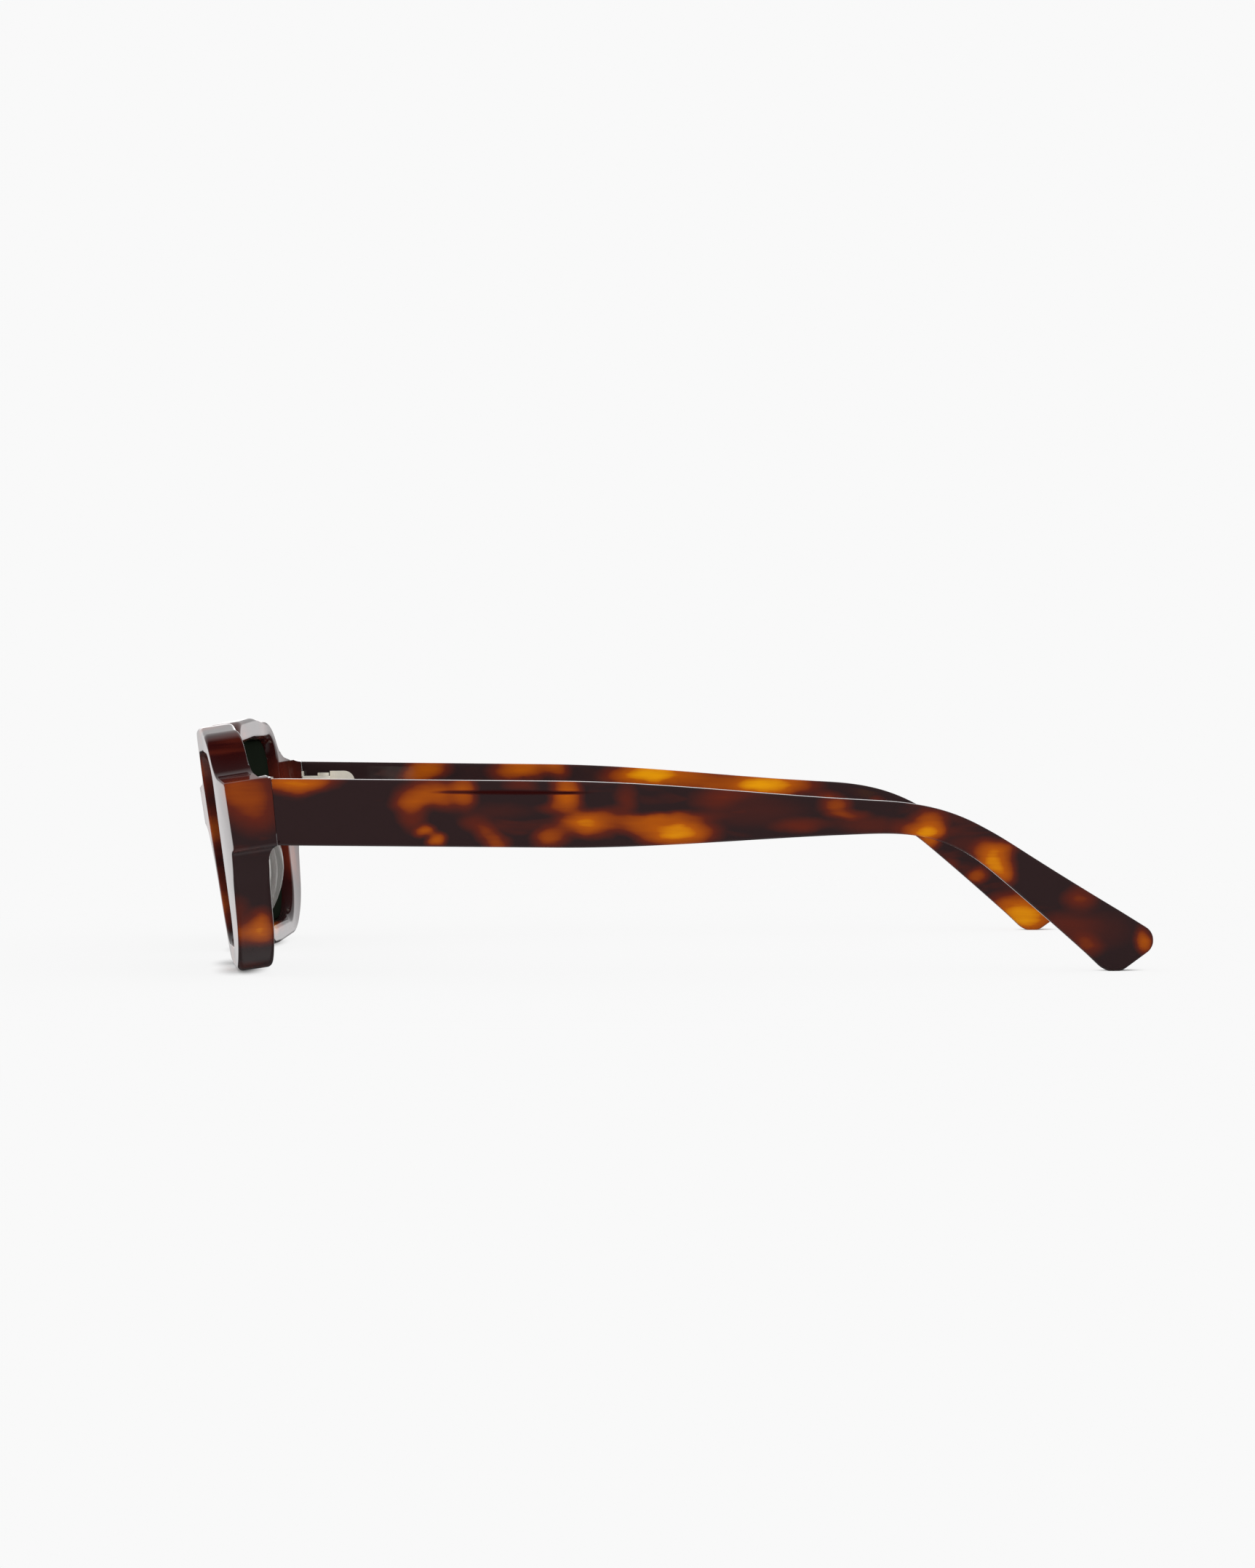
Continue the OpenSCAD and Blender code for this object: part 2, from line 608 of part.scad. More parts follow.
// The pad's foot follows the rim's rear face, and its ridge leans away from the nose
pad_rings = 15;
pad_sides = 12;
pad_low = [lens_x0 + 4.2, 6.6];
pad_high = [nose_w / 2 + 4.1, pad_low.y + sqrt(pad_l * pad_l - pow(pad_low.x - nose_w / 2 - 4.1, 2))];
pad_lean = 0.3;
function pad_ring(f) = let (
        c = pad_low + f * (pad_high - pad_low),
        size = pow(sin(8 + 164 * f), 0.75)
    ) [for (k = [0 : pad_sides - 1]) let (
            a = 180 * k / (pad_sides - 1),
            out = pad_reach * size * sin(a),
            x = c.x + pad_w / 2 * size * cos(a) + pad_lean * out
        ) front_point(x, c.y, rear_face(c.x + pad_w / 2 * size * cos(a)) + glue_gap + out)];
module nose_pad() color(pad_tint) placed() polyhedron(
    points = [for (i = [0 : pad_rings - 1]) each pad_ring(i / (pad_rings - 1))],
    faces = tube_faces(pad_rings, pad_sides));

// Rings of the temple from its inner face to its outer one: [depth below the outer face, inset]
temple_rings = [
    [temple_t, temple_r], [temple_t - temple_r * cut, temple_r * cut], [temple_t - temple_r, 0],
    [temple_r, 0], [temple_r * cut, temple_r * cut], [0, temple_r]
];
function temple_point(q, depth) = [half_w - depth - q.x * tan(converge), q.x, q.y];
module temple() color(acetate) placed() above_floor() difference() {
    polyhedron(
        points = [for (r = temple_rings, i = [0 : outline_n - 1]) temple_point(inset(temple_outline, i, r[1]), r[0])],
        faces = slab_faces(len(temple_rings), outline_n));
    temple_leaf_seat(set_gap);
    wire(set_gap);
}

// The flat wire along the temple's middle, grown by gap
wire_step = 2;
wire_end = temple_l - wire_short;
wire_stops = concat(
    [wire_start],
    [for (s = [straight_l(tip_leg) : wire_step : wire_end - wire_step / 2]) s],
    [wire_end]
);
function wire_ring(s, gap) = let (
        p = mid_point(s, tip_leg),
        up = [sin(mid_angle(s, tip_leg)), cos(mid_angle(s, tip_leg))]
    ) [for (c = [[-1, -1], [1, -1], [1, 1], [-1, 1]])
        temple_point(p + up * c.y * (wire_h / 2 + gap), inner_mid + c.x * (wire_t / 2 + gap))];
module wire(gap) polyhedron(
    points = [for (i = [0 : len(wire_stops) - 1])
        each wire_ring(wire_stops[i] + (i == 0 ? -gap : i == len(wire_stops) - 1 ? gap : 0), gap)],
    faces = tube_faces(len(wire_stops), 4));
module core_wire() color(steel) placed() wire(0);

frame_front();
lens();  // lens_left
right_side() lens();  // lens_right
nose_pad();  // nose_pad_left
right_side() nose_pad();  // nose_pad_right
temple();  // temple_left
right_side() temple();  // temple_right
core_wire();  // core_wire_left
right_side() core_wire();  // core_wire_right
hinge_front_leaf();  // hinge_front_leaf_left
right_side() hinge_front_leaf();  // hinge_front_leaf_right
hinge_temple_leaf();  // hinge_temple_leaf_left
right_side() hinge_temple_leaf();  // hinge_temple_leaf_right
hinge_screw();  // hinge_screw_left
right_side() hinge_screw();  // hinge_screw_right
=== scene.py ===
import math

import bmesh
import bpy
from bpy.props import FloatProperty, FloatVectorProperty, PointerProperty
from mathutils import Matrix, Vector

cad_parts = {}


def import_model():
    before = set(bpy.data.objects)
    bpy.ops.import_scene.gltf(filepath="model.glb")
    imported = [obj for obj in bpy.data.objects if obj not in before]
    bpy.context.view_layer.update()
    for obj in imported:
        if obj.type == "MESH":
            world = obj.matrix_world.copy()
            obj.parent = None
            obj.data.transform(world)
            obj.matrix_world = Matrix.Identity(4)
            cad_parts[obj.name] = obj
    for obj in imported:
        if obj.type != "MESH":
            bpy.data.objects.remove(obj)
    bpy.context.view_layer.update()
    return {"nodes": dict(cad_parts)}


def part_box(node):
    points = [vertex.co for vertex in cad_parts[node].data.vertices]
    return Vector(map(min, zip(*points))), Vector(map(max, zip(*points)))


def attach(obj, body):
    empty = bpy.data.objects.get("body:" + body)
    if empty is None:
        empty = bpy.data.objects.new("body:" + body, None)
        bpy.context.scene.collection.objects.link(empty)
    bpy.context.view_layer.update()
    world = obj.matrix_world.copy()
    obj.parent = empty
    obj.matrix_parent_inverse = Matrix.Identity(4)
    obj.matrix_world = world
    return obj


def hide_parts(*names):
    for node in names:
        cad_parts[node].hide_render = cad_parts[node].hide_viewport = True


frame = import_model()

bl_info = {
    "name": "Tortoiseshell sunglasses",
    "version": (1, 0, 0),
    "blender": (4, 5, 0),
    "location": "View3D > Sidebar > Sunglasses",
    "description": "Dresses the packed sunglasses with smooth acetate, lenses, pads and metal",
    "category": "Object",
}

MM = 0.001

# What counts as one point, in metres, and as lying on the middle plane, in millimetres
SAME = 1e-7
ON_MIDDLE = 1e-6

# How far a ray may pass a side of an outline, as a share of that side, and when it runs along the side
RAY_SLACK = 0.002
ALONG = 1e-12

# How far shapes that cut or join stand past what they meet, in millimetres
PAST = 1.0
FAR_PAST = 10.0

# Measures of the front in its own upright plane, in millimetres: x across, v up from the rim bottoms
HALF_W = 69.3
LEAN = math.radians(8.2)
FACE_ANGLE = math.radians(4.6)
WRAP_START = 48.0
WRAP_R = 114.0
LENS_X0 = 10.3
LENS_X1 = 58.3
LENS_W = LENS_X1 - LENS_X0
RIM_BOTTOM = 3.4
LENS_H = 33.0
LENS_V1 = RIM_BOTTOM + LENS_H
FRONT_H = 40.4
BRIDGE_LEVEL = 22.8
BRIDGE_H = 7.6
BEND_HALF = 9.0
BULGE_HALF = 10.0
NOSE_W = 9.0
END_H = 10.9
END_LEVEL = 20.2
END_TOP = END_LEVEL + END_H
END_DEPTH = 7.5
END_STEP = 2.1
JOINT_SLANT = math.radians(4.8)
STAND_FLAT = 0.12
LENS_CURVE = 265.0
LENS_BEVEL = 0.08
LENS_GAP = 0.1
GROOVE_BACK = 3.1
GROOVE_DEPTH = 0.8
GROOVE_W = 1.1
TONGUE_HALF = 0.45
TONGUE_GAP = 0.2

# The end block behind the rim, the part of the rear edge that it covers, and the hollow corner under it
END_START = 1.5
SEAT_W = 8.3
SEAT_FILLET = 1.2
BLOCK_LOW = END_LEVEL - 0.1
BLOCK_HIGH = END_TOP + 0.3
BLOCK_INSET = 0.004
COVERED_X = HALF_W - SEAT_W + 0.4
COVERED_V = END_LEVEL - 0.3
COVERED_ROUND = 0.01
UNDER_R = 2.6
UNDER_TOP = END_LEVEL + 0.3
UNDER_START = -1.5
UNDER_OVERLAP = 0.1
UNDER_SHIFT = 0.02

# The front's sections: degrees between them round the lens, and where points lie across its faces
STATION_STEP = 2
FACE_SHARES = (0.06, 0.3, 0.6, 0.94)

# Where one rounding of the front's edges ends, in x or v, and the stretch before that in which it gives way
RIM_TO_END = (60.0, 7.0)
RIM_UNDER_END = (17.0, 3.0)
RIM_FOOT = (5.0, 3.0)
PAD_SIDE = (24.0, 6.0)
PAD_TOP = (32.0, 4.0)

# The curve from the end piece's top up to the rim: its bend and its end, behind the joint and above its top
SWEEP_BEND = (-2.7, 0.1)
SWEEP_END = (-3.9, 4.4)
SWEEP_ACROSS = (40, 80)

# Measures of the temples
CONVERGE = math.radians(2.1)
TEMPLE_L = 147.2
TEMPLE_H = 10.7
WAIST_H = 5.0
WAIST_AFTER = 11.0
FULL_L = 46.0
FLARE_L = 33.0
FLARE_CURVE = 1.3
TIP_H = 10.2
TIP_CUT = math.radians(17.6)
TIP_R = 2.5
TIP_LOW_R = 3.4
BEND_L = 26.0
SLOPE = math.radians(1.0)
TIP_SLOPE = math.radians(36.8)
JOINT_GAP = 0.15
JOINT_SEEN = 0.05
JOINT_ROUND = 0.1
FIRST_STOP = 4
STOP_STEP = 2
TIP_CLEAR = 6
CAP_INSET = 0.3

# Measures of the nose pads
PAD_L = 20.0
PAD_W = 3.9
PAD_REACH = 4.5
PAD_LEAN = 0.3
PAD_LOW_V = 6.6
PAD_LOW_IN = 4.2
PAD_HIGH_IN = 4.1
PAD_END_ANGLE = 8
PAD_FULLNESS = 0.75
GLUE_GAP = 0.06

# Amber patches of a temple seen from its side: y, z, half length, half height in millimetres, strength
LEFT_TEMPLE_PATCHES = (
    (-59.8, 32, 5, 1.5, 0.74), (-32.4, 30.3, 1.5, 2, 0.5), (-37.5, 29.6, 4.3, 1.8, 0.6),
    (-41.5, 28.4, 2.3, 1.2, 0.34), (-41.1, 26.3, 1.9, 1.9, 0.3), (-39.3, 23.7, 1.3, 0.8, 0.6),
    (-37.2, 22.1, 1.3, 0.9, 0.66), (-30.9, 25.1, 1.8, 1.1, 0.22), (-28.9, 23.6, 1.5, 1.2, 0.38),
    (-27.4, 21.8, 1.5, 1.1, 0.42), (-27.8, 26.8, 6.1, 1.4, 0.1), (-23.7, 31.1, 2.3, 0.9, 0.24),
    (-16.3, 29.9, 1.9, 2, 0.74), (-16.9, 27.4, 2.6, 1.1, 0.36), (-19.2, 22.4, 2.3, 1.3, 0.5),
    (-13.3, 24.6, 3.5, 1.6, 0.78), (-9.6, 26.4, 2.3, 0.9, 0.26), (1.7, 23.1, 4.6, 1.8, 0.9),
    (-3.9, 24.7, 4, 1.2, 0.56), (-0.9, 25.6, 6.8, 0.6, 0.34), (-6.4, 28.8, 1.5, 2.3, 0.26),
    (7.4, 28.2, 3.1, 1.4, 0.22), (10.9, 29.5, 3.1, 1.3, 0.18), (14.4, 26.4, 7, 2.3, 0.12),
    (27.5, 27.1, 2, 1.3, 0.46), (29.4, 25.4, 2.7, 0.6, 0.34), (21.6, 23.8, 3.2, 0.9, 0.28),
    (32.6, 23.9, 4.9, 1.1, 0.2), (42.5, 25, 2.4, 1.4, 0.56), (42, 23.1, 2.4, 1.2, 0.86),
    (38.6, 23.6, 1.6, 1.1, 0.26), (52.9, 20.1, 2.6, 1.4, 0.68), (52.9, 17.4, 2.6, 1.9, 0.84),
    (54.8, 15.8, 1.5, 1.4, 0.5), (48.4, 21, 3.1, 1.4, 0.14), (66.9, 11.9, 2, 1.5, 0.34),
    (64.6, 7.2, 4, 1.8, 0.2), (67.8, 4.2, 2, 1.5, 0.32), (77.5, 5, 1.2, 1.8, 0.62),
    (70.5, 6.8, 4.5, 2.8, 0.1),
)
RIGHT_TEMPLE_PATCHES = (
    (-40.2, 31.2, 3, 1.5, 0.66), (-42.8, 29.6, 2.4, 1.2, 0.5), (-22.6, 30.8, 4.4, 1.6, 0.72),
    (-15.8, 31, 2, 1.8, 0.5), (1.7, 29.4, 6, 1.7, 1), (11.8, 28.6, 4.2, 1.6, 0.5),
    (22.8, 27.4, 6.6, 1.9, 1), (70.7, 2.6, 5, 3.4, 0.92), (62.1, 10.6, 1.8, 1.2, 0.5),
    (-55.4, 25.4, 2.6, 1.4, 0.46), (-51, 23.2, 2, 1.2, 0.34), (-46, 26, 1.4, 1, 0.2),
    (-35, 23, 2.2, 1.5, 0.56), (-31, 24.8, 2.8, 1.2, 0.66), (-27.4, 26.2, 1.6, 1.4, 0.3),
    (-24, 22.6, 1.5, 1.1, 0.4), (-12.6, 24.8, 3.2, 1.3, 0.62), (-8, 22.8, 2.6, 1.2, 0.74),
    (-2.4, 25.4, 1.7, 1.5, 0.26), (7, 22.9, 2.2, 1.1, 0.44), (11.6, 24.4, 2.4, 1.1, 0.3),
    (34.6, 24.6, 2.6, 1.2, 0.4), (40, 22.6, 2.2, 1.3, 0.62), (44.2, 24.6, 1.4, 1, 0.24),
    (48.6, 20.2, 2.2, 1.3, 0.5), (53, 17, 1.9, 1.8, 0.7), (57, 12.4, 1.6, 1.2, 0.26),
)

# A painted dark reflection near the left temple's upper edge, laid as a slim dark red streak: x, y, z, three
# half sizes, strength
LEFT_TEMPLE_PAINTED_REFLECTION = (
    (68, -34.2, 30, 1.5, 2.6, 0.22, 0.7), (68, -29, 29.92, 1.5, 4, 0.26, 1),
    (68, -24.9, 29.85, 1.5, 4, 0.26, 1), (68, -20.8, 29.78, 1.5, 4, 0.26, 1),
    (68, -16, 29.7, 1.5, 2.7, 0.22, 1),
)

# Amber patches of the front: x, y, z, three half sizes, strength
FRONT_PATCHES = (
    (69, -68.6, 31, 4, 4.2, 4, 0.3), (69, -66, 28, 4, 3, 3.6, 0.28),
    (69, -70, 30.6, 4, 1.6, 2, 0.16), (-58.5, -67, 17, 3, 5, 5, 0.16),
    (66, -68.6, 7.2, 8, 2.4, 1.7, 0.52), (66, -65.7, 7.9, 8, 1.9, 2.2, 0.78),
    (64, -70, 10.6, 6, 2, 2.4, 0.2), (60, -66.5, 1.2, 6, 3.5, 1, 0.4), (-25, -66, 4.4, 8, 3, 1.6, 0.95),
    (-14, -65.6, 16, 4, 3, 3.2, 0.3), (12, -78.4, 32, 5, 3, 3.4, 0.36),
    (11, -76.4, 22.4, 5, 2.4, 2.8, 0.48), (12, -74.8, 9, 5, 2.6, 4.6, 0.44),
    (40, -76, 38.6, 6, 5, 1.6, 0.6), (22, -77, 37.6, 4, 5, 1.8, 0.35),
    (-22, -77, 38, 7, 5, 1.8, 0.6), (-48, -74, 38.6, 5, 5, 2.4, 0.36),
    (36, -73, 2, 9, 5, 1.7, 0.7), (-44, -72, 2, 6, 5, 1.5, 0.4),
    (-64, -68, 29, 6, 5, 3.4, 0.35), (-60, -70, 14, 4, 5, 4.4, 0.66),
    (2, -77, 27.4, 5, 4, 2.2, 0.4), (-12, -76, 24, 2.6, 4, 4.4, 0.5),
)

# Deep red spots of the front: x, y, z, three half sizes, strength
FRONT_DEEP_SPOTS = (
    (58, -71, 38, 14, 8, 4.6, 1), (-57, -68, 20, 5, 8, 30, 1),
    (12, -76, 14, 5, 6, 16, 0.8), (-20, -74, 6, 20, 8, 5, 0.7),
)

# A soft patch fades out at this many half sizes from its middle and is full within that many
PATCH_FADE = (2.0, 0.15)

# Half size that carries a patch right through a temple
THROUGH = 500

# Where the left rim and tip meet the ground, in millimetres: x, y, half width and half depth of the shade
FEET = ((20, -71.8, 9, 2.4), (40, -70.1, 10, 2.6), (62, 73.5, 2.2, 2.4))

# How much of the ground's look is its own glow: on the open ground, and what a shaded spot takes off
OPEN_GLOW = 0.92
SPOT_SHADE = -0.86

# The ground's half size, and how far from the middle it starts to fade and is gone, in metres
GROUND_HALF = 1.2
GROUND_FADE = (0.13, 0.32)

# Indices of refraction
ACETATE_IOR = 1.49
LENS_IOR = 1.5

# The studio that polished surfaces mirror, by direction: where each light starts and is full, and how bright
HORIZON_LOW = (-0.15, -0.09, 1.0)
HORIZON_HIGH = (0.12, 0.03, 1.0)
HORIZON = 0.52
FRONT_PANEL = (-0.06, -0.34, 0.66)
REAR_PANEL = (0.08, 0.22, 0.42)
LINE_LOW = (0.0, 0.02, 0.75)
LINE_HIGH = (0.10, 0.07, 1.0)
LINE_FRONT = (-0.14, -0.08, 1.0)
LINE_REAR = (0.14, 0.08, 1.0)
SKY_LOW = (0.02, 0.10, 0.5)
SKY_SIDE = (-0.25, -0.6, 1.0)
LIT_SIDE = (0.05, -0.4, 1.0)
FLOOR = (-0.6, -0.98, 0.3)
UNLIT = 0.05
STUDIO_TINT = (1, 0.98, 0.985)

# The lamp's breadth and where it stands; the camera's lens, place and own axes, fitted to the photograph
LAMP_ANGLE = math.radians(110)
LAMP_FROM = (0.45, -0.15, 0.88)
CAMERA_LENS = 117.05
CAMERA_SENSOR = 36
CAMERA_PLACE = (0.888, -0.02921, 0.05173)
CAMERA_RIGHT = (0.02793489, 0.99958415, -0.007153)
CAMERA_UP = (-0.02496557, 0.00785122, 0.99965748)
CAMERA_BACK = (0.99929793, -0.02774674, 0.02517452)


# Settings

def length(name, text, value):
    """A length setting, in metres."""
    return FloatProperty(name=name, description=text, default=value, subtype="DISTANCE", unit="LENGTH",
                         precision=5)


def colour(name, text, value):
    """A linear colour setting."""
    return FloatVectorProperty(name=name, description=text, default=value, size=3, min=0, max=1,
                               subtype="COLOR")


def share(name, text, value):
    """A share from 0 to 1."""
    return FloatProperty(name=name, description=text, default=value, min=0, max=1, subtype="FACTOR")


def strength(name, text, value):
    """The strength of a light."""
    return FloatProperty(name=name, description=text, default=value, min=0)


class FrontSettings(bpy.types.PropertyGroup):
    thickness: length("Thickness", "From the front face to the rear face of the rims", 0.0059)
    edge_round: length("Edge rounding", "Radius on the outer edges of the rims", 0.0009)
    low_round: length("Low edge rounding", "Radius on the outer edges under the rims", 0.0010)
    end_round: length("End piece rounding", "Radius on the edges of the end pieces", 0.00035)
    opening_round: length("Opening rounding", "Radius on the front edges of the lens openings", 0.0006)
    pad_round: length("Rounding at the pads", "Radius on the openings' rear edges beside the pads", 0.0009)
    rear_round: length("Rear rounding", "Radius on the openings' other rear edges", 0.0015)
    bridge_bulge: length("Bridge bulge", "How far the bridge stands forward of the rims", 0.0008)


class TempleSettings(bpy.types.PropertyGroup):
    thickness: length("Thickness", "Thickness of the temples", 0.0042)
    edge_round: length("Edge rounding", "Radius on the long edges of the temples", 0.00045)


class AcetateSettings(bpy.types.PropertyGroup):
    dark: colour("Dark", "The darkest acetate", (0.028, 0.0150, 0.0155))
    # The deep red also colours the painted dark reflection streak on the left temple
    deep: colour("Deep red", "Dark acetate with a red glow", (0.026, 0.0013, 0.0011))
    brown: colour("Red-brown", "The thin veil around each patch", (0.150, 0.020, 0.008))
    amber: colour("Amber", "The body of the patches", (0.50, 0.108, 0.003))
    yellow: colour("Yellow", "The brightest patches", (0.88, 0.37, 0.004))
    cloud: length("Cloud size", "Size of the clouds that warp the patches", 0.006)
    gloss: share("Roughness", "Roughness of the polished surface", 0.045)


class LensSettings(bpy.types.PropertyGroup):
    thickness: length("Thickness", "Thickness of the lenses", 0.002)
    tint: colour("Tint", "Colour of the lenses", (0.035, 0.047, 0.032))
    rear_tint: colour("Rear tint", "Colour of the lenses' coated rear", (0.009, 0.012, 0.008))
    clear: share("Clearness", "How much light passes the tint", 0.5)
    shine: share("Shine", "Specular level of the lenses' front", 0.3)


class PadSettings(bpy.types.PropertyGroup):
    tint: colour("Tint", "Colour of the clear nose pads", (0.90, 0.87, 0.84))
    clear: share("Clearness", "How much light passes the pads", 0.8)


class MetalSettings(bpy.types.PropertyGroup):
    plating: colour("Plating", "Colour of the plated hinge leaves and screws", (1.0, 0.94, 0.82))
    steel: colour("Steel", "Colour of the core wires", (0.62, 0.60, 0.57))


class StageSettings(bpy.types.PropertyGroup):
    ground: colour("Ground", "Colour of the ground and the background", (0.947, 0.947, 0.947))
    dome: strength("Dome", "Strength of the light from all around", 0.84)
    lamp: strength("Lamp", "Strength of the soft lamp from above", 0.72)


# Outlines of the front and the lenses, in the front's plane

def smooth(t):
    """An even rise from 0 to 1."""
    u = min(1.0, max(0.0, t))
    return u * u * (3 - 2 * u)


def before(value, end, stretch):
    """1 well before the end, falling to 0 over the stretch before it."""
    return smooth((end - value) / stretch)


def corner(p, q, s, step):
    """The arc that rounds corner q, with its radius as third value, between its neighbours p and s."""
    o = Vector(q[:2])
    if q[2] == 0:
        return [o]
    a = (Vector(p[:2]) - o).normalized()
    b = (Vector(s[:2]) - o).normalized()
    half = a.angle(b) / 2
    middle = o + (a + b).normalized() * q[2] / math.sin(half)
    start = o + a * q[2] / math.tan(half) - middle
    end = o + b * q[2] / math.tan(half) - middle
    first = math.atan2(start.y, start.x)
    sweep = math.remainder(math.atan2(end.y, end.x) - first, math.tau)
    n = max(6, math.ceil(abs(sweep) / step))
    return [middle + q[2] * Vector((math.cos(first + sweep * i / n), math.sin(first + sweep * i / n)))
            for i in range(n + 1)]


def rounded(corners, step=math.radians(3.5)):
    """A closed outline from corners listed clockwise; it runs counter-clockwise."""
    n = len(corners)
    loop = []
    for i in range(n):
        loop += corner(corners[i - 1], corners[i], corners[(i + 1) % n], step)
    return loop[::-1]


def outward(loop, i):
    """Unit normal that points out of the loop at point i."""
    t = (loop[(i + 1) % len(loop)] - loop[i - 1]).normalized()
    return Vector((t.y, -t.x))


def inset(loop, d):
    """The loop moved inwards by d."""
    return [p - d * outward(loop, i) for i, p in enumerate(loop)]


FRONT_OUTLINE = rounded((
    (0, BRIDGE_LEVEL + BRIDGE_H, 0),
    (LENS_X0 - 3, BRIDGE_LEVEL + BRIDGE_H + 0.5, 6),
    (LENS_X0 + 6, FRONT_H - 0.2, 8),
    (LENS_X0 + 0.57 * LENS_W, FRONT_H + 0.1, 90),
    (LENS_X1 - 0.6, FRONT_H - 1.3, 7.5),
    (LENS_X1 + 3.3, END_TOP + 1.4, 6),
    (HALF_W, END_TOP, 0.95),
    (HALF_W, END_LEVEL, 0.95),
    (HALF_W - END_STEP, END_LEVEL - 0.5, 0.9),
    (LENS_X1 + 1.2, 0.15, 14),
    (LENS_X0 + 0.4 * LENS_W, -0.25, 110),
    (LENS_X0 + 7.2, 0.1, 8),
    (LENS_X0 + 2.2, 7.4, 14),
    (NOSE_W / 2, BRIDGE_LEVEL, 3),
    (0, BRIDGE_LEVEL, 0),
))
LENS_OUTLINE = rounded((
    (LENS_X0 + 0.5, LENS_V1 - 0.4, 8),
    (LENS_X0 + 0.57 * LENS_W, LENS_V1 + 0.1, 90),
    (LENS_X1 + 0.6, LENS_V1 - 0.5, 4.4),
    (LENS_X1 - 4.7, RIM_BOTTOM, 9),
    (LENS_X0 + 6, RIM_BOTTOM, 10),
    (LENS_X0 - 0.2, RIM_BOTTOM + 0.55 * LENS_H, 24),
))
LENS_MID = Vector(((LENS_X0 + LENS_X1) / 2, BRIDGE_LEVEL + 0.3 * BRIDGE_H))


def bow(x):
    """Depth of the rims' front face behind the front plane."""
    k = math.tan(FACE_ANGLE)
    face = k * x * x / (2 * BEND_HALF) if x < BEND_HALF else k * (x - BEND_HALF / 2)
    return face + (max(0.0, x - WRAP_START) ** 2) / (2 * WRAP_R)


def front_face(x, bulge):
    """Depth of the front face, with the bridge's bulge."""
    return bow(x) - (bulge * math.cos(math.pi / 2 * x / BULGE_HALF) ** 2 if x < BULGE_HALF else 0)


FRONT_Y0 = -END_DEPTH - bow(HALF_W) * math.cos(LEAN) + END_TOP * math.sin(LEAN)
FRONT_Z0 = -0.2304
HINGE_Z = FRONT_Z0 + (END_LEVEL + END_H / 2) * math.cos(LEAN) + (bow(HALF_W) + 5.9) * math.sin(LEAN)
JOINT_TOP_Z = HINGE_Z + END_H / 2


def joint_y(z):
    """How far the slanted joint lies behind its own top."""
    return (JOINT_TOP_Z - z) * math.tan(JOINT_SLANT)


# The joint's place in the row frame, from the foremost point of the left temple
JOINT_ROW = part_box("temple_left")[0].y / MM - joint_y(HINGE_Z + TEMPLE_H / 2) - JOINT_GAP


def row(x, y, z):
    """From millimetres behind the joint to metres in the row frame."""
    return Vector((x * MM, (y + JOINT_ROW) * MM, z * MM))


def front_point(x, v, y):
    """From the front's upright plane to the row frame."""
    return row(x, FRONT_Y0 + y * math.cos(LEAN) - v * math.sin(LEAN),
               FRONT_Z0 + v * math.cos(LEAN) + y * math.sin(LEAN))


# Mesh helpers

def ring_mesh(name, rings, closed=False):
    """A skin over rings of points: closed joins the last ring to the first, else both ends are capped."""
    bm = bmesh.new()
    grid = [[bm.verts.new(p) for p in ring] for ring in rings]
    n = len(rings[0])
    for i in range(len(rings) if closed else len(rings) - 1):
        a, b = grid[i], grid[(i + 1) % len(rings)]
        for k in range(n):
            bm.faces.new((a[k], a[(k + 1) % n], b[(k + 1) % n], b[k]))
    if not closed:
        bm.faces.new(grid[0])
        bm.faces.new(grid[-1])
    bmesh.ops.remove_doubles(bm, verts=bm.verts, dist=SAME)
    bmesh.ops.dissolve_degenerate(bm, edges=bm.edges, dist=SAME)
    bmesh.ops.recalc_face_normals(bm, faces=bm.faces)
    mesh = bpy.data.meshes.new(name)
    bm.to_mesh(mesh)
    bm.free()
    return mesh


def joined(first, second, operation):
    """The exact union, difference or intersection of two meshes; both are used up."""
    a = bpy.data.objects.new("first", first)
    b = bpy.data.objects.new("second", second)
    for o in (a, b):
        bpy.context.scene.collection.objects.link(o)
    cut = a.modifiers.new("cut", "BOOLEAN")
    cut.object, cut.operation, cut.solver = b, operation, "EXACT"
    bpy.context.view_layer.update()
    result = bpy.data.meshes.new_from_object(a.evaluated_get(bpy.context.evaluated_depsgraph_get()))
    for o in (a, b):
        bpy.data.objects.remove(o)
    for mesh in (first, second):
        bpy.data.meshes.remove(mesh)
    return result


def cut_flat(mesh, point, normal):
    """Cuts away what lies beyond a plane and closes the cut."""
    bm = bmesh.new()
    bm.from_mesh(mesh)
    found = bmesh.ops.bisect_plane(bm, geom=bm.verts[:] + bm.edges[:] + bm.faces[:], plane_co=point,
                                   plane_no=normal, clear_outer=True, dist=SAME)
    edges = [e for e in found["geom_cut"] if isinstance(e, bmesh.types.BMEdge) and e.is_boundary]
    if edges:
        bmesh.ops.holes_fill(bm, edges=edges, sides=0)
    bm.to_mesh(mesh)
    bm.free()
    return mesh


def mirrored(mesh, name):
    """A copy of the mesh on the other side of the middle plane."""
    copy = mesh.copy()
    copy.name = name
    copy.transform(Matrix.Scale(-1, 4, (1, 0, 0)))
    copy.flip_normals()
    return copy


def finish_mesh(mesh, angle):
    """Smooth shading with sharp edges over the angle."""
    for face in mesh.polygons:
        face.use_smooth = True
    mesh.set_sharp_from_angle(angle=math.radians(angle))
    mesh.validate()
    mesh.update()
    return mesh


def add_piece(name, mesh, body, slot, material, *nodes):
    """A piece that rides on its body and stands for its nodes."""
    piece = bpy.data.objects.new(name, mesh)
    bpy.context.scene.collection.objects.link(piece)
    mesh.materials.clear()
    mesh.materials.append(material)
    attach(piece, body)
    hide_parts(*nodes)


# Shapes of the pieces

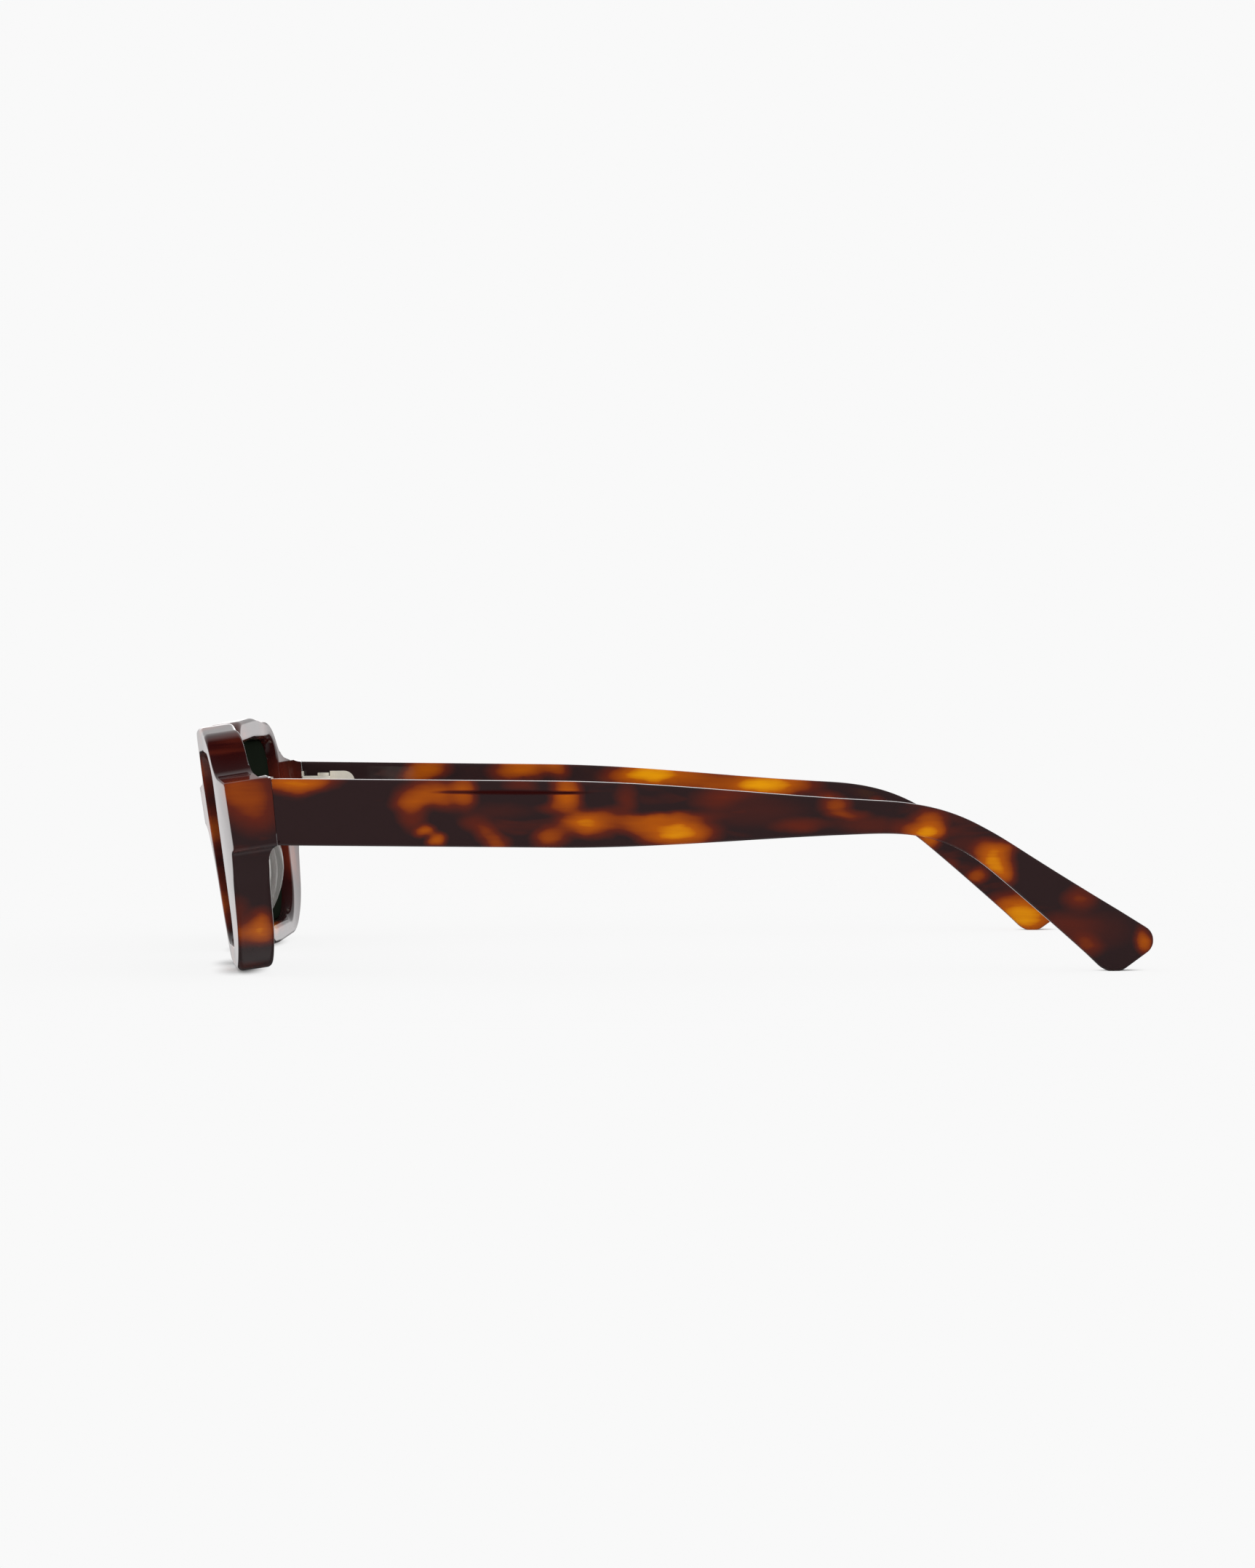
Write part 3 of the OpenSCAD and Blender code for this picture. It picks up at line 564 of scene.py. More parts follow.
def quarter(n):
    """Sine and cosine steps of a quarter round, from 0 to 90 degrees."""
    return [(math.sin(math.pi / 2 * i / n), math.cos(math.pi / 2 * i / n)) for i in range(n + 1)]


def ray_hit(loop, angle):
    """Where a ray from the lens middle meets the loop."""
    d = Vector((math.cos(angle), math.sin(angle)))
    best = None
    for i, p in enumerate(loop):
        e = loop[(i + 1) % len(loop)] - p
        den = e.x * d.y - e.y * d.x
        if abs(den) < ALONG:
            continue
        w = p - LENS_MID
        u = -(w.x * d.y - w.y * d.x) / den
        if -RAY_SLACK < u < 1 + RAY_SLACK:
            q = p + u * e
            t = (q - LENS_MID).dot(d)
            if t > 0 and (best is None or t > best[0]):
                best = (t, q)
    return best[1]


def front_stations():
    """Directions round the lens: both outlines' points, and some between them."""
    def direction(p):
        return math.degrees(math.atan2(p.y - LENS_MID.y, p.x - LENS_MID.x))

    def apart(a, others, gap):
        return all(abs(math.remainder(a - b, 360)) > gap for b in others)

    angles = [direction(p) for p in FRONT_OUTLINE]
    angles += [a for a in map(direction, LENS_OUTLINE) if apart(a, angles, STATION_STEP / 4)]
    angles += [a for a in range(-180, 180, STATION_STEP) if apart(a, angles, 0.55 * STATION_STEP)]
    return [math.radians(a) for a in sorted(angles)]


def lens_curve_y(x):
    """Depth of the lens's middle surface, a round curve through the groove at both sides."""
    a = Vector((LENS_X0, bow(LENS_X0) + GROOVE_BACK))
    b = Vector((LENS_X1, bow(LENS_X1) + GROOVE_BACK))
    d = (b - a).normalized()
    centre = (a + b) / 2 + Vector((-d.y, d.x)) * math.sqrt(LENS_CURVE ** 2 - ((b - a).length / 2) ** 2)
    return centre.y - math.sqrt(LENS_CURVE ** 2 - (x - centre.x) ** 2)


def outer_radius(p, settings):
    """Rounding of the outer edges: small at the end piece, larger on the rim, largest under it."""
    end, rim, low = settings.end_round / MM, settings.edge_round / MM, settings.low_round / MM
    away = max(before(p.x, *RIM_TO_END), before(p.y, *RIM_UNDER_END))
    return end + (rim - end) * away + (low - rim) * before(p.y, *RIM_FOOT)


def rear_radius(p, settings):
    """Rounding of an opening's rear edge: smaller beside the nose pad, which stands on the rim there."""
    beside = before(p.x, *PAD_SIDE) * before(p.y, *PAD_TOP)
    return (settings.rear_round + (settings.pad_round - settings.rear_round) * beside) / MM


def half_front(settings):
    """The left half of the front without its end block: one section for each station round the lens."""
    thickness, bulge = settings.thickness / MM, settings.bridge_bulge / MM
    opening = settings.opening_round / MM
    stations = front_stations()
    outer = [ray_hit(FRONT_OUTLINE, a) for a in stations]
    inner = [ray_hit(LENS_OUTLINE, a) for a in stations]
    n = len(stations)
    middle_v = BRIDGE_LEVEL + BRIDGE_H / 2

    def outer_normal(i):
        p = outer[i]
        if abs(p.x) > ON_MIDDLE:
            return outward(outer, i)
        if abs(outer[i - 1].x) < ON_MIDDLE and abs(outer[(i + 1) % n].x) < ON_MIDDLE:
            return Vector((0, 0))
        return Vector((0, 1 if p.y > middle_v else -1))

    def front(p, d):
        return front_point(p.x, p.y, front_face(p.x, bulge) + d)

    def rear(p, d):
        return front_point(p.x, p.y, bow(p.x) + thickness - d)

    def groove(p, side):
        return front_point(p.x, p.y, lens_curve_y(p.x) + side * GROOVE_W / 2)

    rings = []
    rise = quarter(8)
    for i, (rim, lens) in enumerate(zip(outer, inner)):
        out, away = outer_normal(i), outward(inner, i)
        edge, rear_opening = outer_radius(rim, settings), rear_radius(lens, settings)
        front_start, rear_start = lens + away * opening, lens + away * rear_opening
        face_end = rim - out * edge
        back = COVERED_ROUND if rim.x > COVERED_X and rim.y > COVERED_V else edge
        ring = [front(lens + away * opening * (1 - c), opening * (1 - s)) for s, c in quarter(4)]
        ring += [front(front_start + (face_end - front_start) * f, 0) for f in FACE_SHARES]
        ring += [front(rim - out * edge * (1 - s), edge * (1 - c)) for s, c in rise]
        ring += [rear(rim - out * back * (1 - s), back * (1 - c)) for s, c in rise[::-1]]
        ring += [rear(rear_start + (face_end - rear_start) * f, 0) for f in FACE_SHARES[::-1]]
        ring += [rear(lens + away * rear_opening * (1 - s), rear_opening * (1 - c)) for s, c in rise]
        deep = lens + away * GROOVE_DEPTH
        ring += [groove(lens, 1), groove(deep, 1), groove(deep, -1), groove(lens, -1)]
        rings.append(ring)
    return ring_mesh("half front", rings, closed=True)


def end_block(thickness):
    """The end piece, carried back from the rim to the joint, with a hollow corner at the rim's rear face."""
    block_y = bow(HALF_W) + END_START
    seat_x = HALF_W - SEAT_W
    seat_y = bow(seat_x) + thickness
    side = inset(FRONT_OUTLINE, BLOCK_INSET)
    rings = [[front_point(p.x, p.y, y) for p in side] for y in (-2 * FAR_PAST, 4 * FAR_PAST)]
    prism = ring_mesh("outline", rings)
    plan = [Vector((HALF_W + PAST, block_y)), Vector((seat_x - 2 * SEAT_FILLET, block_y)),
            Vector((seat_x - 2 * SEAT_FILLET, seat_y - SEAT_FILLET))]
    plan += [Vector((seat_x - SEAT_FILLET * (1 - s), seat_y + SEAT_FILLET * (1 - c))) for s, c in quarter(8)]
    plan += [Vector((seat_x, seat_y + FAR_PAST)), Vector((HALF_W + PAST, seat_y + FAR_PAST))]
    rings = [[front_point(p.x, v, p.y) for p in plan] for v in (BLOCK_LOW, BLOCK_HIGH)]
    stack = ring_mesh("plan", rings)
    high = UNDER_TOP + UNDER_OVERLAP
    profile = [Vector((UNDER_START, high)), Vector((UNDER_START, UNDER_TOP - UNDER_R))]
    profile += [Vector((UNDER_R * (1 - c) - UNDER_SHIFT, UNDER_TOP - UNDER_R * (1 - s)))
                for s, c in quarter(10)]
    profile += [Vector((UNDER_R, high))]
    stops = [seat_x + SEAT_W * f / 4 for f in range(5)]
    rings = [[front_point(x, p.y, bow(x) + thickness + p.x) for p in profile] for x in stops]
    under = ring_mesh("under", rings)
    block = joined(prism, joined(stack, under, "UNION"), "INTERSECT")
    slant = Vector((0, math.cos(JOINT_SLANT), math.sin(JOINT_SLANT)))
    cut_flat(block, row(0, joint_y(HINGE_Z), HINGE_Z), slant)
    sweep = [Vector([2 * t * (1 - t) * bend + t * t * end for bend, end in zip(SWEEP_BEND, SWEEP_END)])
             for t in [i / 16 for i in range(17)]]
    far = 2 * FAR_PAST
    sweep += [Vector((SWEEP_END[0], far)), Vector((far, far)), Vector((far, 0))]
    rings = [[row(x, p.x, JOINT_TOP_Z + p.y) for p in sweep] for x in SWEEP_ACROSS]
    return joined(block, ring_mesh("above", rings), "DIFFERENCE")


def front_mesh(settings):
    """The whole acetate front: both halves, both end blocks, and flats where the rims stand."""
    half = joined(half_front(settings), end_block(settings.thickness / MM), "UNION")
    cut_flat(half, Vector((0, 0, 0)), Vector((0, 0, -1)))
    other = mirrored(half, "other half")
    bm = bmesh.new()
    bm.from_mesh(half)
    bm.from_mesh(other)
    middle = [f for f in bm.faces if all(abs(v.co.x) < SAME for v in f.verts)]
    bmesh.ops.delete(bm, geom=middle, context="FACES")
    bmesh.ops.remove_doubles(bm, verts=[v for v in bm.verts if abs(v.co.x) < SAME], dist=SAME)
    bm.to_mesh(half)
    bm.free()
    bpy.data.meshes.remove(other)
    half.name = "front"
    return finish_mesh(half, 38)


def lens_mesh(thickness):
    """A curved lens that fills its opening, with the tongue that sits in the rim's groove."""
    edge = inset(LENS_OUTLINE, LENS_GAP)
    tongue = inset(LENS_OUTLINE, TONGUE_GAP - GROOVE_DEPTH)
    t = thickness / 2
    shares = (0.02, 0.2, 0.4, 0.6, 0.8, 0.93, 0.99)
    levels = [(f, edge, -t) for f in shares]
    levels += [(1, edge, LENS_BEVEL - t), (1, edge, -TONGUE_HALF), (1, tongue, -TONGUE_HALF),
               (1, tongue, TONGUE_HALF), (1, edge, TONGUE_HALF), (1, edge, t - LENS_BEVEL)]
    levels += [(f, edge, t) for f in shares[::-1]]
    rings = []
    for f, loop, d in levels:
        points = [LENS_MID + f * (p - LENS_MID) for p in loop]
        rings.append([front_point(p.x, p.y, lens_curve_y(p.x) + d) for p in points])
    return finish_mesh(ring_mesh("lens", rings), 40)


def pad_mesh(thickness):
    """A drop-shaped pad whose foot follows the rim's rear face and whose ridge leans away from the nose."""
    low = Vector((LENS_X0 + PAD_LOW_IN, PAD_LOW_V))
    high_x = NOSE_W / 2 + PAD_HIGH_IN
    high = Vector((high_x, low.y + math.sqrt(PAD_L ** 2 - (low.x - high_x) ** 2)))
    count, sides = 60, 32
    rings = []
    for i in range(count):
        f = i / (count - 1)
        c = low + f * (high - low)
        size = math.sin(math.radians(PAD_END_ANGLE + (180 - 2 * PAD_END_ANGLE) * f)) ** PAD_FULLNESS
        ring = []
        for k in range(sides):
            a = math.pi * k / (sides - 1)
            out = PAD_REACH * size * math.sin(a)
            foot = c.x + PAD_W / 2 * size * math.cos(a)
            ring.append(front_point(foot + PAD_LEAN * out, c.y, bow(foot) + thickness + GLUE_GAP + out))
        rings.append(ring)
    return finish_mesh(ring_mesh("pad", rings), 50)


def bend_angle(t):
    """Slope of a temple at share t of its bend."""
    return SLOPE + (TIP_SLOPE - SLOPE) * smooth(t)


BEND_STEPS = 52
BEND_POINTS = [Vector((0, 0))]
for step in range(BEND_STEPS):
    turn = bend_angle((step + 0.5) / BEND_STEPS)
    BEND_POINTS.append(BEND_POINTS[-1] + BEND_L / BEND_STEPS * Vector((math.cos(turn), -math.sin(turn))))


def temple_outline(leg):
    """Side view of a temple, from the joint to the tip, for a tip stretch of length leg."""
    straight = TEMPLE_L - BEND_L - leg

    def middle(s):
        start = Vector((0, HINGE_Z)) + min(s, straight) * Vector((math.cos(SLOPE), -math.sin(SLOPE)))
        if s <= straight:
            return start
        if s < straight + BEND_L:
            f = (s - straight) / BEND_L * BEND_STEPS
            k = int(f)
            return start + BEND_POINTS[k].lerp(BEND_POINTS[min(k + 1, BEND_STEPS)], f - k)
        rest = s - straight - BEND_L
        return start + BEND_POINTS[-1] + rest * Vector((math.cos(TIP_SLOPE), -math.sin(TIP_SLOPE)))

    def height(s):
        waist = straight + WAIST_AFTER
        flare = max(0.0, s - TEMPLE_L + FLARE_L) / FLARE_L
        return (TEMPLE_H + (WAIST_H - TEMPLE_H) * smooth((s - FULL_L) / (waist - FULL_L))
                + (TIP_H - WAIST_H) * flare ** FLARE_CURVE)

    def edge(s, side):
        a = bend_angle((s - straight) / BEND_L)
        p = middle(s) + side * height(s) / 2 * Vector((math.sin(a), math.cos(a)))
        return (p.x, p.y, 0)

    stops = [FIRST_STOP + STOP_STEP * i for i in range(int((straight - TIP_CLEAR) / STOP_STEP))]
    stops += [straight + i for i in range(int(TEMPLE_L - TIP_CLEAR - straight))]
    tip = middle(TEMPLE_L)
    across = math.pi / 2 - TIP_SLOPE - TIP_CUT
    reach = TIP_H / 2 / math.cos(TIP_CUT) * Vector((math.cos(across), math.sin(across)))
    top, bottom = HINGE_Z + TEMPLE_H / 2, HINGE_Z - TEMPLE_H / 2
    corners = [(joint_y(top) + JOINT_SEEN, top, JOINT_ROUND)]
    corners += [edge(s, 1) for s in stops]
    corners += [(*(tip + reach), TIP_R), (*(tip - reach), TIP_LOW_R)]
    corners += [edge(s, -1) for s in reversed(stops)]
    corners += [(joint_y(bottom) + JOINT_SEEN, bottom, JOINT_ROUND)]
    return rounded(corners)


def temple_mesh(settings):
    """A left temple: its outline carried through its thickness, with rounded edges on both faces."""
    leg = 20.0
    low = min(p.y for p in temple_outline(leg))
    leg += (low + STAND_FLAT) / (math.sin(TIP_SLOPE) - math.sin(SLOPE))
    outline = temple_outline(leg)
    t, r = settings.thickness / MM, settings.edge_round / MM
    rise = quarter(6)
    levels = [(t, r + CAP_INSET)] + [(t - r * (1 - c), r * (1 - s)) for s, c in rise]
    levels += [(r * (1 - c), r * (1 - s)) for s, c in rise[::-1]] + [(0, r + CAP_INSET)]
    rings = []
    for depth, d in levels:
        ring = []
        for p, q in zip(outline, inset(outline, d)):
            y = p.x if p.x < 1 else q.x
            ring.append(row(HALF_W - depth - y * math.tan(CONVERGE), y, q.y))
        rings.append(ring)
    mesh = ring_mesh("temple", rings)
    cut_flat(mesh, Vector((0, 0, 0)), Vector((0, 0, -1)))
    return finish_mesh(mesh, 38)


# Shader nodes, groups and materials

def plug(tree, node, **sockets):
    """Links or sets a node's sockets; _0 is the first socket, and underscores in names are spaces."""
    for key, value in sockets.items():
        socket = node.inputs[int(key[1:])] if key[0] == "_" else node.inputs[key.replace("_", " ")]
        if isinstance(value, bpy.types.NodeSocket):
            tree.links.new(value, socket)
        else:
            socket.default_value = value
    return node


def add(tree, kind, settings=None, **sockets):
    """A node with its own settings and socket values."""
    node = tree.nodes.new(kind)
    for key, value in (settings or {}).items():
        setattr(node, key, value)
    return plug(tree, node, **sockets)


def maths(tree, operation, *values):
    """The result of an operation on numbers."""
    sockets = {"_" + str(i): value for i, value in enumerate(values)}
    return add(tree, "ShaderNodeMath", {"operation": operation}, **sockets).outputs[0]


def vector_maths(tree, operation, first, second):
    """The result of an operation on two vectors, or on a vector and a number to scale it by."""
    sockets = {"_0": first, "Scale" if operation == "SCALE" else "_1": second}
    return add(tree, "ShaderNodeVectorMath", {"operation": operation}, **sockets).outputs[0]


def distance(tree, place):
    """How far a place lies from the origin."""
    return add(tree, "ShaderNodeVectorMath", {"operation": "LENGTH"}, _0=place).outputs["Value"]


def noise(tree, place, scale, detail, **sockets):
    """The value and the colour of soft noise."""
    return add(tree, "ShaderNodeTexNoise", None, Vector=place, Scale=scale, Detail=detail, **sockets).outputs


def spread_out(tree, value, start, end, low, high):
    """A value carried evenly from one range to another, and kept in it."""
    return add(tree, "ShaderNodeMapRange", None, Value=value, From_Min=start, From_Max=end, To_Min=low,
               To_Max=high).outputs[0]


def eased(tree, value, start, end, high=1.0):
    """A soft rise from 0 at the start to high at the end."""
    return add(tree, "ShaderNodeMapRange", {"interpolation_type": "SMOOTHSTEP"}, Value=value, From_Min=start,
               From_Max=end, To_Min=0.0, To_Max=high).outputs[0]


def mixed(tree, part, first, second):
    """A colour between two colours."""
    return add(tree, "ShaderNodeMix", {"data_type": "RGBA"}, _0=part, _6=first, _7=second).outputs[2]


def mixed_shader(tree, part, first, second):
    """A shader between two shaders."""
    return add(tree, "ShaderNodeMixShader", None, _0=part, _1=first, _2=second).outputs[0]


def new_group(name, inputs, outputs):
    """An empty node group with its sockets, each name and kind, and its input and output nodes."""
    tree = bpy.data.node_groups.new(name, "ShaderNodeTree")
    for sockets, direction in ((inputs, "INPUT"), (outputs, "OUTPUT")):
        for label, kind in sockets.items():
            tree.interface.new_socket(name=label, in_out=direction, socket_type="NodeSocket" + kind)
    return tree, tree.nodes.new("NodeGroupInput").outputs, tree.nodes.new("NodeGroupOutput")


def placed_group(tree, name, **sockets):
    """One use of a node group in a material."""
    return add(tree, "ShaderNodeGroup", {"node_tree": bpy.data.node_groups[name]}, **sockets).outputs


def soft_patch(tree, place, centre, spread, full, under):
    """The mask of one soft patch, laid over the mask under it."""
    away = vector_maths(tree, "SUBTRACT", place, centre)
    far = distance(tree, vector_maths(tree, "DIVIDE", away, spread))
    mask = maths(tree, "MULTIPLY", eased(tree, far, *PATCH_FADE), full)
    return maths(tree, "MULTIPLY_ADD", mask, maths(tree, "SUBTRACT", 1.0, under), under)


def build_patch_group():
    """One soft patch, laid over the ones before it."""
    inputs = {"Place": "Vector", "Centre": "Vector", "Spread": "Vector", "Strength": "Float",
              "Under": "Float"}
    tree, given, out = new_group("Soft patch", inputs, {"Mask": "Float"})
    plug(tree, out, Mask=soft_patch(tree, *[given[label] for label in inputs]))


def build_warp_group():
    """Bends places by slow clouds, so that patches lose their even outline."""
    tree, given, out = new_group("Cloud warp", {"Place": "Vector", "Size": "Float", "Amount": "Float"},
                                 {"Place": "Vector"})
    rate = maths(tree, "DIVIDE", 1.0, given["Size"])
    drawn = vector_maths(tree, "MULTIPLY", given["Place"], (1.0, 0.55, 1.0))
    cloud = noise(tree, drawn, rate, 3.5, Roughness=0.5)
    centred = vector_maths(tree, "SUBTRACT", cloud["Color"], (0.5, 0.5, 0.5))
    moved = vector_maths(tree, "SCALE", centred, given["Amount"])
    plug(tree, out, Place=vector_maths(tree, "ADD", given["Place"], moved))


def build_acetate_group():
    """Turns a patch mask into tortoiseshell: dark, red-brown, amber and yellow, with veils and flow lines."""
    tree, given, out = new_group(
        "Tortoise acetate",
        {"Place": "Vector", "Mask": "Float", "Dark": "Color", "Brown": "Color", "Amber": "Color",
         "Yellow": "Color", "Cloud size": "Float", "Roughness": "Float"},
        {"Color": "Color", "Roughness": "Float", "Height": "Float"})
    rate = maths(tree, "DIVIDE", 1.0, given["Cloud size"])
    drawn = vector_maths(tree, "MULTIPLY", given["Place"], (1.0, 0.35, 1.3))
    veil = noise(tree, drawn, rate, 3.0, Roughness=0.55, Distortion=0.4)[0]
    flow_place = vector_maths(tree, "MULTIPLY", given["Place"], (4.0, 0.5, 6.0))
    flow = noise(tree, flow_place, rate, 2.0, Roughness=0.6)[0]
    full = maths(tree, "MAXIMUM", given["Mask"], eased(tree, veil, 0.5, 0.78, 0.2))
    mask = maths(tree, "MULTIPLY", full, spread_out(tree, flow, 0.3, 0.7, 0.94, 1.05))
    shown = given["Dark"]
    for socket, start, end in (("Brown", 0.03, 0.42), ("Amber", 0.30, 0.82), ("Yellow", 0.72, 1.05)):
        shown = mixed(tree, spread_out(tree, mask, start, end, 0.0, 1.0), shown, given[socket])
    haze = noise(tree, given["Place"], rate, 4.0)[0]
    rough = maths(tree, "MULTIPLY", spread_out(tree, haze, 0.3, 0.8, 0.7, 1.7), given["Roughness"])
    plug(tree, out, Color=shown, Roughness=rough, Height=noise(tree, drawn, rate, 1.0)[0])


def build_metal_group():
    """Fine satin lines and small stains on metal."""
    tree, given, out = new_group("Satin metal", {"Place": "Vector", "Metal": "Color", "Roughness": "Float"},
                                 {"Color": "Color", "Roughness": "Float", "Height": "Float"})
    drawn = vector_maths(tree, "MULTIPLY", given["Place"], (1.0, 1.0, 14.0))
    line = noise(tree, drawn, 900.0, 3.0)[0]
    stain = noise(tree, given["Place"], 500.0, 3.0)[0]
    tinted = vector_maths(tree, "SCALE", given["Metal"], spread_out(tree, stain, 0.3, 0.7, 0.93, 1.03))
    rough = maths(tree, "MULTIPLY", spread_out(tree, line, 0.25, 0.75, 0.75, 1.35), given["Roughness"])
    plug(tree, out, Color=tinted, Roughness=rough, Height=line)


def new_material(name):
    """A material with its Principled shader and the object's own coordinates."""
    material = bpy.data.materials.new(name)
    material.use_nodes = True
    tree = material.node_tree
    tree.nodes.clear()
    shader = tree.nodes.new("ShaderNodeBsdfPrincipled")
    add(tree, "ShaderNodeOutputMaterial", None, _0=shader.outputs[0])
    return material, tree, shader, tree.nodes.new("ShaderNodeTexCoord").outputs["Object"]


def bumped(tree, height, depth):
    """A normal bent by a height."""
    return add(tree, "ShaderNodeBump", None, Strength=1.0, Distance=depth, Height=height).outputs[0]


def laid_patches(tree, place, patches):
    """Soft patches laid over each other, as one mask."""
    mask = 0.0
    for x, y, z, rx, ry, rz, full in patches:
        mask = placed_group(tree, "Soft patch", Place=place, Centre=(x * MM, y * MM, z * MM),
                            Spread=(rx * MM, ry * MM, rz * MM), Strength=full, Under=mask)[0]
    return mask


def acetate_material(name, patches, deep_spots, painted_reflection, settings):
    """Polished tortoiseshell with its patches and the deep red spots that the piece has, and a painted dark
    reflection streak where one is given.
    """
    material, tree, shader, place = new_material(name)
    warped = placed_group(tree, "Cloud warp", Place=place, Size=settings.cloud, Amount=0.003)[0]
    mask = laid_patches(tree, warped, patches)
    deep = laid_patches(tree, warped, deep_spots)
    # The painted dark reflection streak takes the amber out and lays the deep red over it
    if painted_reflection:
        deep = laid_patches(tree, place, painted_reflection)
        mask = maths(tree, "MULTIPLY", mask, maths(tree, "SUBTRACT", 1.0, deep))
    dark = mixed(tree, deep, (*settings.dark, 1), (*settings.deep, 1))
    look = placed_group(tree, "Tortoise acetate", Place=place, Mask=mask, Dark=dark,
                        Brown=(*settings.brown, 1), Amber=(*settings.amber, 1), Yellow=(*settings.yellow, 1),
                        Cloud_size=settings.cloud, Roughness=settings.gloss)
    plug(tree, shader, Base_Color=look["Color"], Roughness=look["Roughness"], IOR=ACETATE_IOR,
         Normal=bumped(tree, look["Height"], 0.00003))
    return material


def side_patches(patches):
    """Patches of a temple go right through its thickness."""
    return [(0, y, z, THROUGH, ry, rz, full) for y, z, ry, rz, full in patches]


def clouded(tree, haze, tint, low, high):
    """A tint that a haze takes from its low share to its high share."""
    return mixed(tree, haze, (*[c * low for c in tint], 1), (*[c * high for c in tint], 1))


def lens_material(name, tint, clear, specular):
    """Dark green lens: polished, with a faint cloud in its tint."""
    material, tree, shader, place = new_material(name)
    haze = noise(tree, place, 60.0, 2.0)[0]
    plug(tree, shader, Base_Color=clouded(tree, haze, tint, 0.85, 1.15),
         Roughness=spread_out(tree, haze, 0.0, 1.0, 0.01, 0.04), Transmission_Weight=clear, IOR=LENS_IOR,
         Specular_IOR_Level=specular)
    return material


def pad_material(settings):
    """Clear smoky acetate of the nose pads."""
    material, tree, shader, place = new_material("Clear pad acetate")
    haze = noise(tree, place, 220.0, 3.0)[0]
    plug(tree, shader, Base_Color=clouded(tree, haze, settings.tint, 0.8, 1.0),
         Roughness=spread_out(tree, haze, 0.0, 1.0, 0.03, 0.14), Transmission_Weight=settings.clear,
         IOR=ACETATE_IOR, Normal=bumped(tree, haze, 0.00002))
    return material


def metal_material(name, tint, roughness, metallic):
    """Plated or plain metal with satin lines."""
    material, tree, shader, place = new_material(name)
    look = placed_group(tree, "Satin metal", Place=place, Metal=(*tint, 1), Roughness=roughness)
    plug(tree, shader, Base_Color=look["Color"], Roughness=look["Roughness"], Metallic=metallic,
         Normal=bumped(tree, look["Height"], 0.000002))
    return material


# Operators, one for each group of pieces

class SUNGLASSES_OT_front(bpy.types.Operator):
    """Builds the acetate front with its rims, bridge and end pieces"""
    bl_idname = "sunglasses.front"
    bl_label = "Acetate front"

    def execute(self, context):
        scene = context.scene
        material = acetate_material("Front acetate", FRONT_PATCHES, FRONT_DEEP_SPOTS, (),
                                    scene.sunglasses_acetate)
        mesh = front_mesh(scene.sunglasses_front)
        add_piece("front_acetate", mesh, "front", "acetate", material, "frame_front")
        return {"FINISHED"}


class SUNGLASSES_OT_temples(bpy.types.Operator):
    """Builds both acetate temples"""
    bl_idname = "sunglasses.temples"
    bl_label = "Temples"

    def execute(self, context):
        scene = context.scene
        left = temple_mesh(scene.sunglasses_temple)
        # The left temple also gets its painted dark reflection streak
        for side, mesh, patches, painted_reflection in (
                ("left", left, LEFT_TEMPLE_PATCHES, LEFT_TEMPLE_PAINTED_REFLECTION),
                ("right", mirrored(left, "right temple"), RIGHT_TEMPLE_PATCHES, ())):
            material = acetate_material(side.capitalize() + " temple acetate", side_patches(patches), (),
                                        painted_reflection, scene.sunglasses_acetate)
            add_piece("temple_acetate_" + side, mesh, "temple_" + side, "acetate", material, "temple_" + side)
        return {"FINISHED"}


class SUNGLASSES_OT_lenses(bpy.types.Operator):
    """Builds both lenses"""
    bl_idname = "sunglasses.lenses"
    bl_label = "Lenses"

    def execute(self, context):
        settings = context.scene.sunglasses_lens
        plain = lens_material("Dark green lens", settings.tint, settings.clear, settings.shine)
        coated = lens_material("Coated lens rear", settings.rear_tint, clear=0.0, specular=0.0)
        left = lens_mesh(settings.thickness / MM)
        for side, mesh in (("left", left), ("right", mirrored(left, "right lens"))):
            add_piece("sun_lens_" + side, mesh, "front", "lens", plain, "lens_" + side)
            mesh.materials.append(coated)
            for face in mesh.polygons:
                face.material_index = int(face.normal.y > 0.5)
        return {"FINISHED"}


class SUNGLASSES_OT_nose_pads(bpy.types.Operator):
    """Builds both nose pads"""
    bl_idname = "sunglasses.nose_pads"
    bl_label = "Nose pads"

    def execute(self, context):
        scene = context.scene
        material = pad_material(scene.sunglasses_pad)
        left = pad_mesh(scene.sunglasses_front.thickness / MM)
        for side, mesh in (("left", left), ("right", mirrored(left, "right pad"))):
            add_piece("clear_pad_" + side, mesh, "front", "pad", material, "nose_pad_" + side)
        return {"FINISHED"}


class SUNGLASSES_OT_hinges(bpy.types.Operator):
    """Gives the hinge leaves, screws and core wires their metals"""
    bl_idname = "sunglasses.hinges"
    bl_label = "Hinges and wires"

    def execute(self, context):
        settings = context.scene.sunglasses_metal
        plating = metal_material("Champagne plating", settings.plating, roughness=0.34, metallic=0.25)
        steel = metal_material("Plain steel", settings.steel, roughness=0.3, metallic=1.0)
        for side in ("left", "right"):
            for node_name, material in (("hinge_front_leaf_", plating), ("hinge_temple_leaf_", plating),
                                        ("hinge_screw_", plating), ("core_wire_", steel)):
                mesh = frame["nodes"][node_name + side].data
                mesh.materials.clear()
                mesh.materials.append(material)
        return {"FINISHED"}


class SUNGLASSES_OT_stage(bpy.types.Operator):
    """Sets the pale ground, the soft light and the camera"""
    bl_idname = "sunglasses.stage"
    bl_label = "Stage"

    def execute(self, context):
        scene = context.scene
        settings = scene.sunglasses_stage
        add_ground(settings)
        add_world(settings)
        add_lamp(settings)
        add_camera()
        scene.view_settings.view_transform = "Standard"
        return {"FINISHED"}


